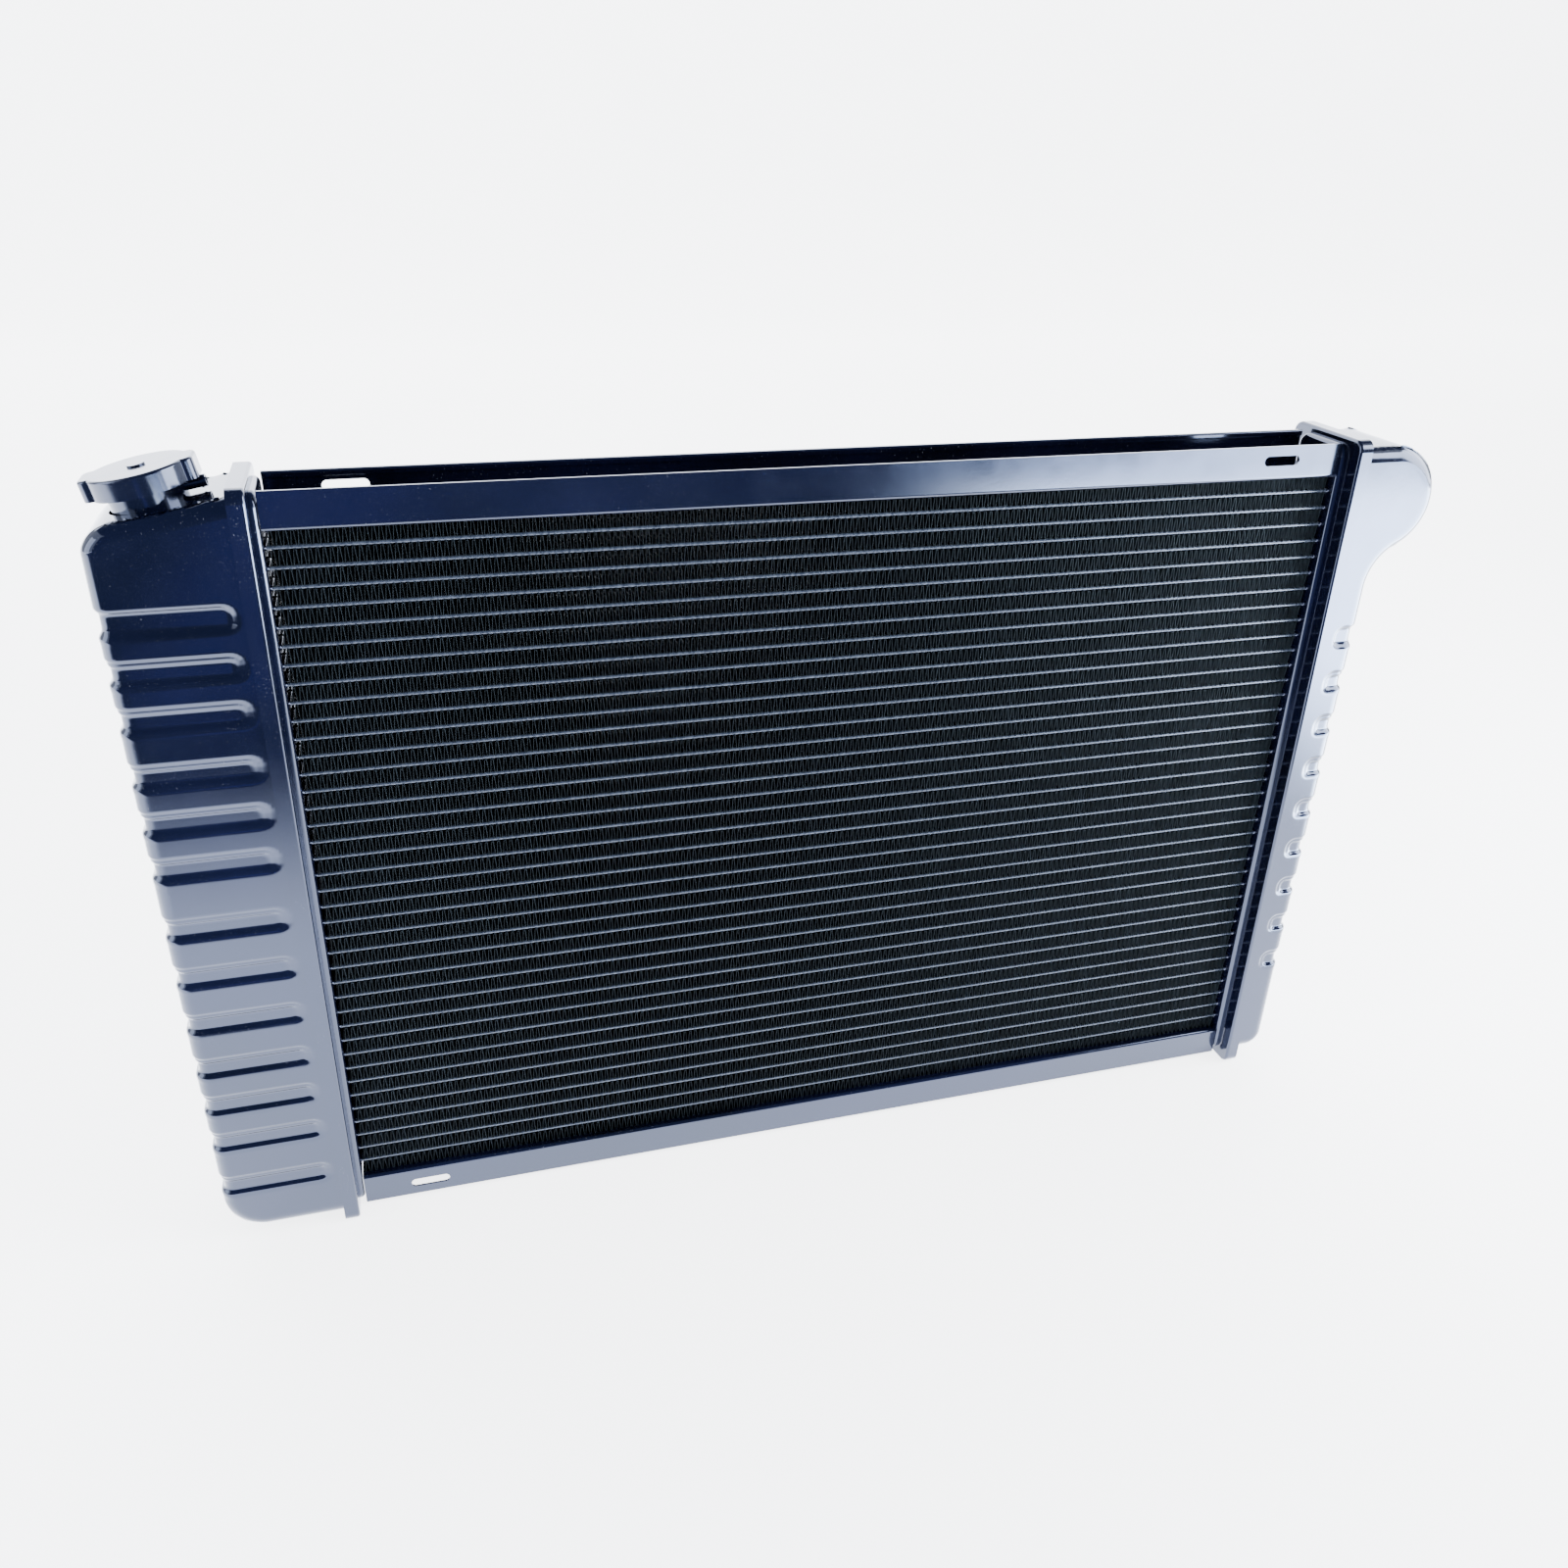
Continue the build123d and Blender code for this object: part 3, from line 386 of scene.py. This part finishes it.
class Tank:
    """Outline and pockets of one tank, as distances from the core centre."""

    def __init__(self, side, mouth, reach, top, bottom, slope, top_radius, bottom_radius, bulb, steps,
                 pads):
        self.side = side
        self.mouth = mouth
        self.reach = reach
        self.top = top
        self.bottom = bottom
        self.slope = slope
        self.top_radius = top_radius
        self.bottom_radius = bottom_radius
        self.bulb = bulb
        self.steps = steps
        self.pads = pads

    def edge_at(self, z):
        """How far the outline reaches at a height, before the top's slope is added."""
        low = self.bottom + self.bottom_radius
        if z < low:
            return self.reach - self.bottom_radius + arc(self.bottom_radius, low - z)
        high = self.top - self.top_radius
        if self.bulb:
            centre, radius, blend = self.bulb
            blend_x = self.reach + blend
            blend_z = high - arc(radius + blend, blend_x - centre)
            meet_z = high + (blend_z - high) * radius / (radius + blend)
            if blend_z < z < meet_z:
                return blend_x - arc(blend, z - blend_z)
            if z >= meet_z:
                return centre + arc(radius, z - high)
            return self.reach
        if z > high:
            return self.reach - self.top_radius + arc(self.top_radius, z - high)
        return self.reach

    def rows(self):
        """Heights of the mesh rows: even in the middle, by angle round the corners."""
        low = self.bottom + self.bottom_radius
        high = self.top - self.top_radius
        quarter = [math.radians(a) for a in np.linspace(90, 0, CORNER_ROWS)]
        rows = [low - self.bottom_radius * math.sin(a) for a in quarter]
        count = int((high - low) / ROW_SPACING)
        rows += list(np.linspace(low, high, count)[1:-1])
        rows += [high + self.top_radius * math.sin(a) for a in reversed(quarter)]
        return rows

    def drop(self, x, z):
        """How far the sloping top pulls a point down; nothing below the first step."""
        start = self.steps[0] + SLOPE_START
        share = smooth((z - start) / (self.top - start - SLOPE_END))
        return share * (x - self.mouth) * self.slope

    def depth(self, x, z, back):
        """How deep the pressed pockets are at each point."""
        inner = rim_outer + POCKET_INSET
        deep = np.zeros_like(x)
        for step in self.steps:
            foot = step - POCKET_HEIGHT - LEDGE_RISE / 2
            half = (step - foot) / 2
            dx = (inner + POCKET_CORNER) - x
            dz = np.abs(z - (step + foot) / 2) - (half - POCKET_CORNER)
            outside = np.hypot(np.maximum(dx, 0), np.maximum(dz, 0))
            outside = outside + np.minimum(np.maximum(dx, dz), 0)
            inside = POCKET_CORNER - outside
            if step == self.steps[0]:
                wall = smooth(inside / FIRST_STEP_RUN)
            else:
                lip = smooth(inside / LIP_RUN)
                wall = LIP_SHARE * lip + (1 - LIP_SHARE) * smooth((inside - LIP_GAP) / LIP_RUN)
            deep = np.maximum(deep, wall * smooth((z - foot) / LEDGE_RISE))
        if back:
            for px, pz, radius in self.pads:
                away = np.hypot(x - px, z - pz) - (radius + PAD_MARGIN)
                deep *= smooth(away / PAD_BLEND)
        return deep * POCKET_DEPTH

    def knob(self, out, z):
        """Small swelling of the outboard corner at the foot of each pocket."""
        feet = [step - POCKET_HEIGHT for step in self.steps]
        near = max(math.exp(-((z - foot) / KNOB_SPREAD)**2) for foot in feet)
        return near * smooth(out * KNOB_SHARPNESS) * KNOB_HEIGHT


def tank_points(tank, front_columns):
    """Rows of points across the tank: front face, rounded edge, outboard side, edge, back face."""
    rows = np.array(tank.rows())
    edge = np.array([tank.edge_at(z) for z in rows])
    count = OUTLINE_POINTS
    outline = np.stack([
        np.concatenate([np.linspace(tank.mouth, edge[0], count), edge,
                        np.linspace(edge[-1], tank.mouth, count)]),
        np.concatenate([np.full(count, rows[0]), rows, np.full(count, rows[-1])]),
    ], 1)
    angles = np.radians(np.linspace(90, 0, EDGE_COLUMNS))
    grid = []
    for z, reach in zip(rows, edge):
        flat = np.linspace(tank.mouth, reach - TANK_EDGE, front_columns)
        curved = reach - TANK_EDGE * (1 - np.cos(angles[1:]))
        xs = np.concatenate([flat, curved])
        zs = np.full_like(xs, z)
        gap = np.hypot(xs[:, None] - outline[None, :, 0], zs[:, None] - outline[None, :, 1]).min(1)
        away = np.clip(gap, 0.0, TANK_EDGE)
        away[-1] = 0.0
        if z in (rows[0], rows[-1]):
            away[:] = 0.0
        out = (TANK_EDGE - away) / TANK_EDGE
        facing = np.sqrt(np.maximum(1 - out**2, 0.0))
        half = TANK_HALF_Y - TANK_EDGE * (1 - facing)
        line = []
        for back in (False, True):
            deep = tank.depth(xs, zs, back) - tank.knob(out, z)
            shown_x = xs - deep * out
            shown_y = half - deep * facing
            shown_z = zs - tank.drop(xs, zs)
            sign = 1 if back else -1
            line.append([(tank.side * px, sign * py, pz) for px, py, pz in zip(shown_x, shown_y, shown_z)])
        front, rear = line
        start, end = Vector(front[-1]), Vector(rear[-1])
        band = [tuple(start.lerp(end, t)) for t in np.linspace(0, 1, BAND_COLUMNS)[1:-1]]
        grid.append(front + band + rear[::-1])
    return grid


def make_tank(name, node, tank, front_columns):
    """Skin of one tank as a single sheet, before it is thickened and bored."""
    grid = tank_points(tank, front_columns)
    width = len(grid[0])
    points = [tuple(core[i] + p[i] for i in range(3)) for row in grid for p in row]
    faces = []
    for r in range(len(grid) - 1):
        for c in range(width - 1):
            a = r * width + c
            quad = (a, a + 1, a + width + 1, a + width)
            faces.append(quad if tank.side > 0 else quad[::-1])
    for r, flip in ((0, True), (len(grid) - 1, False)):
        for c in range(width // 2):
            a = r * width + c
            b = r * width + width - 1 - c
            if b - a < 3:
                break
            quad = (a, b, b - 1, a + 1)
            facing_out = flip == (tank.side > 0)
            faces.append(quad[::-1] if facing_out else quad)
    skin = mesh_object(name, points, faces, "root", tank_paint, 0)
    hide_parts(node)
    return skin


def thicken_and_bore(skin, cutters):
    """Give the sheet its thickness and cut the bores."""
    bm = bmesh.new()
    bm.from_mesh(skin.data)
    bmesh.ops.remove_doubles(bm, verts=bm.verts, dist=WELD_DISTANCE)
    bmesh.ops.recalc_face_normals(bm, faces=bm.faces)
    bm.to_mesh(skin.data)
    bm.free()
    wall = skin.modifiers.new("wall", "SOLIDIFY")
    wall.thickness = SHEET
    wall.offset = -1
    for index, cutter in enumerate(cutters):
        cut = skin.modifiers.new(f"bore_{index}", "BOOLEAN")
        cut.operation = "DIFFERENCE"
        cut.solver = "MANIFOLD"
        cut.object = cutter
    graph = bpy.context.evaluated_depsgraph_get()
    done = bpy.data.meshes.new_from_object(skin.evaluated_get(graph))
    skin.modifiers.clear()
    skin.data = done
    done.polygons.foreach_set("use_smooth", [True] * len(done.polygons))
    done.set_sharp_from_angle(angle=math.radians(SKIN_SMOOTH))
    for cutter in cutters:
        bpy.data.objects.remove(cutter)


def bore_cutter(origin, axis, radius, length):
    """Plain cylinder for cutting a bore; it is removed afterwards."""
    bm = bmesh.new()
    turn = Vector((0, 0, 1)).rotation_difference(Vector(axis)).to_matrix().to_4x4()
    bmesh.ops.create_cone(bm, cap_ends=True, segments=BORE_SEGMENTS, radius1=radius, radius2=radius,
                          depth=length, matrix=Matrix.Translation(origin) @ turn)
    mesh = bpy.data.meshes.new("cutter")
    bm.to_mesh(mesh)
    bm.free()
    cutter = bpy.data.objects.new("cutter", mesh)
    bpy.context.collection.objects.link(cutter)
    return cutter


def centre_of(node):
    """Middle of a CAD node's box."""
    low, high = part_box(node)
    return (low + high) / 2


OUTLET_RADIUS = 22.225 * MM
INLET_RADIUS = 19.05 * MM
FITTING_RADIUS = 8.5 * MM
DRAIN_RADIUS = 9.0 * MM
FILLER_RADIUS = 19.5 * MM
FILLER_TILT = math.radians(11.0)
FITTING_SPACING = 127.0 * MM
BORE_DEPTH = 20.0 * MM
FILLER_BORE_DEPTH = 60.0 * MM
MOUTH_STEP = 5.2 * MM
LEFT_TOP = 243.5 * MM
LEFT_BOTTOM = -240.0 * MM
LEFT_TOP_RADIUS = 14.0 * MM
LEFT_BOTTOM_RADIUS = 26.0 * MM
LEFT_COLUMNS = 42
RIGHT_REACH = 363.5 * MM
RIGHT_TOP = 241.0 * MM
RIGHT_BOTTOM = -236.0 * MM
RIGHT_BOTTOM_RADIUS = 14.0 * MM
RIGHT_COLUMNS = 24
BULB_CENTRE = 364.95 * MM
BULB_RADIUS = 35.0 * MM
BULB_BLEND = 30.0 * MM

outlet = centre_of("outlet_neck") - core
inlet = centre_of("inlet_neck") - core
fittings = centre_of("cooler_fittings") - core
drain = centre_of("drain_bush") - core
filler_up = Vector((-math.sin(FILLER_TILT), 0, math.cos(FILLER_TILT)))
LEFT_SLOPE = math.tan(FILLER_TILT)
left_steps = [LEFT_FIRST_STEP - sum(LEFT_GAPS[:i]) * MM for i in range(len(LEFT_GAPS) + 1)]
right_steps = [RIGHT_FIRST_STEP - i * RIGHT_GAP for i in range(RIGHT_POCKETS)]
fitting_places = [(-fittings.x, fittings.z + s * FITTING_SPACING, FITTING_RADIUS) for s in (-1, 1)]
mouth_x = half_width + MOUTH_STEP
left_tank = Tank(
    side=-1, mouth=mouth_x, reach=core.x - left_tank_low.x - KNOB_HEIGHT - BOX_EASE, top=LEFT_TOP,
    bottom=LEFT_BOTTOM, slope=LEFT_SLOPE, top_radius=LEFT_TOP_RADIUS, bottom_radius=LEFT_BOTTOM_RADIUS,
    bulb=None, steps=left_steps, pads=[(-outlet.x, outlet.z, OUTLET_RADIUS)] + fitting_places,
)
right_tank = Tank(
    side=1, mouth=mouth_x, reach=RIGHT_REACH, top=RIGHT_TOP, bottom=RIGHT_BOTTOM, slope=0.0,
    top_radius=BULB_RADIUS, bottom_radius=RIGHT_BOTTOM_RADIUS, bulb=(BULB_CENTRE, BULB_RADIUS, BULB_BLEND),
    steps=right_steps, pads=[(inlet.x, inlet.z, INLET_RADIUS), (drain.x, drain.z, DRAIN_RADIUS)],
)


def rear_bore(x, z, radius):
    """Cutter for a bore through a tank's back, at a place counted from the core centre."""
    place = (core.x + x, core.y + TANK_HALF_Y, core.z + z)
    return bore_cutter(place, (0, 1, 0), radius - SHEET / 2, BORE_DEPTH)


def make_tanks():
    """Both tank skins, with bores behind the hose necks, fittings, drain cock and filler neck."""
    left = make_tank("left_tank_skin", "left_tank", left_tank, LEFT_COLUMNS)
    cutters = [rear_bore(outlet.x, outlet.z, OUTLET_RADIUS)]
    for x, z, radius in fitting_places:
        cutters.append(rear_bore(-x, z, radius))
    filler = centre_of("filler_neck")
    cutters.append(bore_cutter(filler, filler_up, FILLER_RADIUS - SHEET / 2, FILLER_BORE_DEPTH))
    thicken_and_bore(left, cutters)
    right = make_tank("right_tank_skin", "right_tank", right_tank, RIGHT_COLUMNS)
    cutters = [rear_bore(inlet.x, inlet.z, INLET_RADIUS), rear_bore(drain.x, drain.z, DRAIN_RADIUS)]
    thicken_and_bore(right, cutters)


# ---- solder ------------------------------------------------------------------------------------
def wobble(*phases):
    """Slow uneven wave, for hand-made edges."""
    return sum(math.sin(p * (1 + 0.37 * i) + 1.9 * i) for i, p in enumerate(phases)) / len(phases)


SOLDER_AROUND = 20
SOLDER_REACH = 1.1 * MM
SOLDER_UNEVEN = 0.25
SOLDER_SMOOTH = 60
SOLDER_PROFILE = ((0.0, 1.0), (0.10, 0.55), (0.38, 0.22), (1.0, 0.0))
RIM_CORNER = 5.8 * MM
RIM_CORNER_STEPS = 8
RIM_SPACING = 3.0 * MM
RIM_SINK = 0.1 * MM
RIM_SIZE_MM = 1.9
RIM_UNEVEN_MM = 0.35
RIM_PROFILE = ((0.0, -0.2), (0.25, -0.55), (0.6, -0.85), (1.0, -1.3))
COLLAR_AROUND = 72
COLLAR_UNEVEN = 0.12
COLLAR_PROFILE = ((0.0, 1.0), (0.08, 0.6), (0.25, 0.3), (0.55, 0.1), (1.0, 0.0), (1.05, -0.2))
NECK_COLLAR = 3.6 * MM
DRAIN_COLLAR = 2.2 * MM


def make_tube_solder():
    """Small solder fillets where each tube enters its header."""
    points = []
    faces = []
    straight = (TUBE_WIDTH - TUBE_THICKNESS) / 2
    for side in (-1, 1):
        plate = core.x + side * half_width
        for layer in range(TUBE_LAYERS):
            z0 = core.z + (layer - (TUBE_LAYERS - 1) / 2) * TUBE_PITCH
            for row in (-1, 1):
                y0 = core.y + row * TUBE_ROW_SPACING / 2
                first = len(points)
                for k in range(SOLDER_AROUND):
                    angle = 2 * math.pi * k / SOLDER_AROUND
                    size = SOLDER_REACH * (1 + SOLDER_UNEVEN * wobble(layer * 2.1 + k, side * 3.0 + k * 0.7))
                    end = straight if math.cos(angle) > 0 else -straight
                    cos, sin = math.cos(angle), math.sin(angle)
                    for out, up in SOLDER_PROFILE:
                        radius = TUBE_THICKNESS / 2 + out * size
                        points.append((plate - side * up * size, y0 + end + radius * cos,
                                       z0 + radius * sin))
                ring = len(SOLDER_PROFILE)
                for k in range(SOLDER_AROUND):
                    for p in range(ring - 1):
                        a = first + k * ring + p
                        b = first + ((k + 1) % SOLDER_AROUND) * ring + p
                        quad = (a, a + 1, b + 1, b)
                        faces.append(quad if side > 0 else quad[::-1])
    mesh_object("tube_solder", points, faces, "root", sheet_paint, SOLDER_SMOOTH)


def rim_path(edge_y, edge_z):
    """Evenly spaced places round a rounded rectangle, as (y, z) from the core centre."""
    loop = []
    for cy, cz, start in ((1, 1, 0), (-1, 1, 90), (-1, -1, 180), (1, -1, 270)):
        for step in range(RIM_CORNER_STEPS + 1):
            angle = math.radians(start + 90 * step / RIM_CORNER_STEPS)
            loop.append((cy * (edge_y - RIM_CORNER) + RIM_CORNER * math.cos(angle),
                         cz * (edge_z - RIM_CORNER) + RIM_CORNER * math.sin(angle)))
    path = []
    for index, (y, z) in enumerate(loop):
        ny, nz = loop[(index + 1) % len(loop)]
        count = max(1, int(math.hypot(ny - y, nz - z) / RIM_SPACING))
        for k in range(count):
            path.append((y + (ny - y) * k / count, z + (nz - z) * k / count))
    return path


def rim_inward(y, z, edge_y, edge_z):
    """Direction that points into the rounded rectangle from a place on its edge."""
    flat_y = edge_y - RIM_CORNER
    flat_z = edge_z - RIM_CORNER
    if abs(z) < flat_z:
        return Vector((-1 if y > 0 else 1, 0))
    if abs(y) < flat_y:
        return Vector((0, -1 if z > 0 else 1))
    return Vector((math.copysign(flat_y, y) - y, math.copysign(flat_z, z) - z)).normalized()


def make_rim_solder():
    """Solder run that fills the corner between each header's rim and its tank."""
    edge_y = rim_half_y - SHEET
    edge_z = rim_half_z - SHEET
    outer_x = rim_outer - RIM_SINK
    path = rim_path(edge_y, edge_z)
    ring = len(RIM_PROFILE)
    for side, name in ((-1, "left_rim_solder"), (1, "right_rim_solder")):
        points = []
        faces = []
        for k, (y, z) in enumerate(path):
            inward = rim_inward(y, z, edge_y, edge_z)
            size = (RIM_SIZE_MM + RIM_UNEVEN_MM * wobble(k * 0.21, k * 0.13)) * MM
            for across, down in RIM_PROFILE:
                points.append((core.x + side * (outer_x + down * 0.5 * size),
                               core.y + y + inward.x * across * size,
                               core.z + z + inward.y * across * size))
        for k in range(len(path)):
            for p in range(ring - 1):
                a = k * ring + p
                b = ((k + 1) % len(path)) * ring + p
                quad = (a, b, b + 1, a + 1)
                faces.append(quad if side > 0 else quad[::-1])
        mesh_object(name, points, faces, "root", sheet_paint, SOLDER_SMOOTH)


def make_collar(name, centre, axis, radius, size):
    """Concave solder collar round a tube where it leaves a tank."""
    axis = Vector(axis).normalized()
    side = axis.orthogonal().normalized()
    other = axis.cross(side)
    points = []
    faces = []
    for k in range(COLLAR_AROUND):
        angle = 2 * math.pi * k / COLLAR_AROUND
        grown = size * (1 + COLLAR_UNEVEN * wobble(angle * 3 + radius * 900, angle * 5))
        direction = side * math.cos(angle) + other * math.sin(angle)
        for out, up in COLLAR_PROFILE:
            points.append(Vector(centre) + direction * (radius + out * grown) + axis * up * grown)
    ring = len(COLLAR_PROFILE)
    for k in range(COLLAR_AROUND):
        for p in range(ring - 1):
            a = k * ring + p
            b = ((k + 1) % COLLAR_AROUND) * ring + p
            faces.append((a, a + 1, b + 1, b))
    mesh_object(name, points, faces, "root", sheet_paint, SOLDER_SMOOTH)


def make_collars():
    """Solder collars behind both hose necks and round the drain bush."""
    back = (0, 1, 0)
    for name, place, radius, size in (
        ("outlet_solder", outlet, OUTLET_RADIUS, NECK_COLLAR),
        ("inlet_solder", inlet, INLET_RADIUS, NECK_COLLAR),
        ("drain_solder", drain, DRAIN_RADIUS, DRAIN_COLLAR),
    ):
        centre = (core.x + place.x, core.y + TANK_HALF_Y, core.z + place.z)
        make_collar(name, centre, back, radius, size)


make_fins()
make_tanks()
make_tube_solder()
make_rim_solder()
make_collars()


# ---- studio ------------------------------------------------------------------------------------
FLOOR_SIZE = 14.0
BEND_START = 3.5
BEND = 2.0
BEND_STEPS = 16
WALL_HEIGHT = 8.0
FLOOR_GLOW = 4.0
FLAG_START = -0.38
FLAG_FADE = 0.42
BRIGHT_START = 0.62
BRIGHT_FADE = 0.40
BRIGHT_GLOW = 48.0
FLAG_GLOW = 0.35
BLUE_GLOW = 0.9
CARD_REACH = 4.0
CARD_FRONT = -3.9
CARD_TOP = 5.0
WORLD_GLOW = 1.6
KEY_POWER = 70.0
FILL_POWER = 16.0


def make_floor():
    """Pale seamless floor that curves up behind."""
    shader = Shader("studio_floor")
    mottle = shader.noise(3.0, 2.0)
    shader.colour(shader.ramp(mottle, [(0.3, (0.86, 0.87, 0.89)), (0.7, (0.90, 0.905, 0.92))]))
    shader.set(Roughness=0.6, Specular_IOR_Level=0.2)
    shader.surface.inputs["Emission Color"].default_value = (0.97, 0.98, 1.0, 1.0)
    shader.surface.inputs["Emission Strength"].default_value = FLOOR_GLOW
    half = FLOOR_SIZE / 2
    profile = [(-half, 0.0), (BEND_START, 0.0)]
    for step in range(1, BEND_STEPS + 1):
        angle = math.radians(90 * step / BEND_STEPS)
        profile.append((BEND_START + BEND * math.sin(angle), BEND * (1 - math.cos(angle))))
    profile.append((BEND_START + BEND, WALL_HEIGHT))
    points = []
    faces = []
    for y, z in profile:
        points += [(-half, y, z), (half, y, z)]
    for k in range(len(profile) - 1):
        faces.append((2 * k, 2 * k + 1, 2 * k + 3, 2 * k + 2))
    mesh = bpy.data.meshes.new("studio_floor")
    mesh.from_pydata(points, [], faces)
    mesh.materials.append(shader.material)
    mesh.polygons.foreach_set("use_smooth", [True] * len(mesh.polygons))
    floor = bpy.data.objects.new("studio_floor", mesh)
    bpy.context.collection.objects.link(floor)


def make_flag(name, corners, colour, strength, fades=()):
    """Studio card that only reflections see, so that gloss paint has something to mirror.
    Each fade, as (axis, start, end), lets the card come in softly along that axis."""
    material = bpy.data.materials.new(name)
    material.use_nodes = True
    tree = material.node_tree
    tree.nodes.clear()
    out = tree.nodes.new("ShaderNodeOutputMaterial")
    glow = tree.nodes.new("ShaderNodeEmission")
    glow.inputs["Color"].default_value = (*colour, 1.0)
    glow.inputs["Strength"].default_value = strength
    shown = glow.outputs[0]
    place = tree.nodes.new("ShaderNodeTexCoord")
    split = tree.nodes.new("ShaderNodeSeparateXYZ")
    tree.links.new(place.outputs["Object"], split.inputs[0])
    for axis, start, end in fades:
        share = tree.nodes.new("ShaderNodeMapRange")
        share.interpolation_type = "SMOOTHSTEP"
        share.inputs["From Min"].default_value = start
        share.inputs["From Max"].default_value = end
        tree.links.new(split.outputs[axis], share.inputs["Value"])
        clear = tree.nodes.new("ShaderNodeBsdfTransparent")
        blend = tree.nodes.new("ShaderNodeMixShader")
        tree.links.new(share.outputs["Result"], blend.inputs[0])
        tree.links.new(clear.outputs[0], blend.inputs[1])
        tree.links.new(shown, blend.inputs[2])
        shown = blend.outputs[0]
    tree.links.new(shown, out.inputs["Surface"])
    mesh = bpy.data.meshes.new(name)
    mesh.from_pydata(corners, [], [(0, 1, 2, 3)])
    mesh.materials.append(material)
    flag = bpy.data.objects.new(name, mesh)
    bpy.context.collection.objects.link(flag)
    flag.visible_camera = False
    flag.visible_diffuse = False
    flag.visible_shadow = False
    flag.visible_transmission = False


def make_floor_card(name, left, right, near, far, height, colour, strength, fades=()):
    """Reflection card that lies just above the floor."""
    corners = [(left, near, height), (right, near, height), (right, far, height), (left, far, height)]
    make_flag(name, corners, colour, strength, fades)


def make_flags():
    """Dark cards on the floor in front, beyond it and overhead, a blue one, and bright ones at the right."""
    dark = (0.30, 0.42, 0.90)
    blue = (0.20, 0.26, 0.85)
    pale = (0.80, 0.90, 1.0)
    wide = CARD_REACH
    make_floor_card("floor_flag", -wide, wide, FLAG_START, -wide, 0.004, dark, FLAG_GLOW,
                    [("Y", FLAG_START, FLAG_START - FLAG_FADE)])
    front = CARD_FRONT
    standing = [(-wide, front, 0.0), (wide, front, 0.0), (wide, front, CARD_TOP), (-wide, front, CARD_TOP)]
    make_flag("front_flag", standing, dark, FLAG_GLOW)
    leaning = [(-3, front, 4.9), (3, front, 4.9), (3, 1.2, 3.2), (-3, 1.2, 3.2)]
    make_flag("overhead_flag", leaning, dark, FLAG_GLOW)
    make_floor_card("blue_card", -0.70, -0.10, -0.8, -2.6, 0.008, blue, BLUE_GLOW,
                    [("X", -0.66, -0.52), ("X", -0.12, -0.30), ("Y", -0.85, -1.05)])
    far = BRIGHT_START + BRIGHT_FADE
    make_floor_card("near_card", BRIGHT_START, wide, -0.1, -1.9, 0.008, pale, BRIGHT_GLOW,
                    [("X", BRIGHT_START, far), ("Y", -1.9, -1.5)])
    make_floor_card("far_card", far, wide, -1.5, -wide, 0.012, pale, BRIGHT_GLOW / 2,
                    [("X", far, far + 2 * BRIGHT_FADE), ("Y", -1.5, -1.9)])


def area_light(name, place, target, width, height, power, colour):
    """Soft rectangular light that points at a target."""
    light = bpy.data.lights.new(name, "AREA")
    light.shape = "RECTANGLE"
    light.size = width
    light.size_y = height
    light.energy = power
    light.color = colour
    lamp = bpy.data.objects.new(name, light)
    lamp.location = place
    lamp.rotation_euler = (Vector(target) - Vector(place)).to_track_quat("-Z", "Y").to_euler()
    bpy.context.collection.objects.link(lamp)


def make_lights():
    """Key light at the right and a weaker fill at the left."""
    area_light("key", (1.5, -0.5, 0.9), (0.38, 0.0, 0.35), 1.2, 1.2, KEY_POWER, (0.93, 0.96, 1.0))
    area_light("left_fill", (-1.8, -0.3, 0.8), (-0.4, 0.0, 0.3), 1.0, 1.2, FILL_POWER, (0.9, 0.94, 1.0))


def make_world():
    """Pale sky all round."""
    world = bpy.data.worlds.new("studio")
    world.use_nodes = True
    background = world.node_tree.nodes["Background"]
    background.inputs["Color"].default_value = (0.90, 0.94, 1.0, 1.0)
    background.inputs["Strength"].default_value = WORLD_GLOW
    bpy.context.scene.world = world


CAMERA_LENS = 30.24
CAMERA_ANGLES = (16.88, 26.96, 1.65)
CAMERA_PLACE = (-0.2502, -0.7569, 0.6680)


def make_camera():
    """Camera over the left front, looking down at the core; angles are azimuth, elevation and roll."""
    data = bpy.data.cameras.new("camera")
    data.lens = CAMERA_LENS
    data.sensor_width = 36.0
    data.clip_start = 0.01
    azimuth, elevation, roll = (math.radians(a) for a in CAMERA_ANGLES)
    forward = Vector((math.sin(azimuth) * math.cos(elevation), math.cos(azimuth) * math.cos(elevation),
                      -math.sin(elevation)))
    right = Vector((math.cos(azimuth), -math.sin(azimuth), 0.0))
    up = right.cross(forward)
    rolled_right = right * math.cos(roll) + up * math.sin(roll)
    rolled_up = up * math.cos(roll) - right * math.sin(roll)
    camera = bpy.data.objects.new("camera", data)
    turn = Matrix((rolled_right, rolled_up, -forward)).transposed().to_4x4()
    camera.matrix_world = Matrix.Translation(CAMERA_PLACE) @ turn
    bpy.context.collection.objects.link(camera)
    bpy.context.scene.camera = camera


make_floor()
make_flags()
make_world()
make_lights()
make_camera()
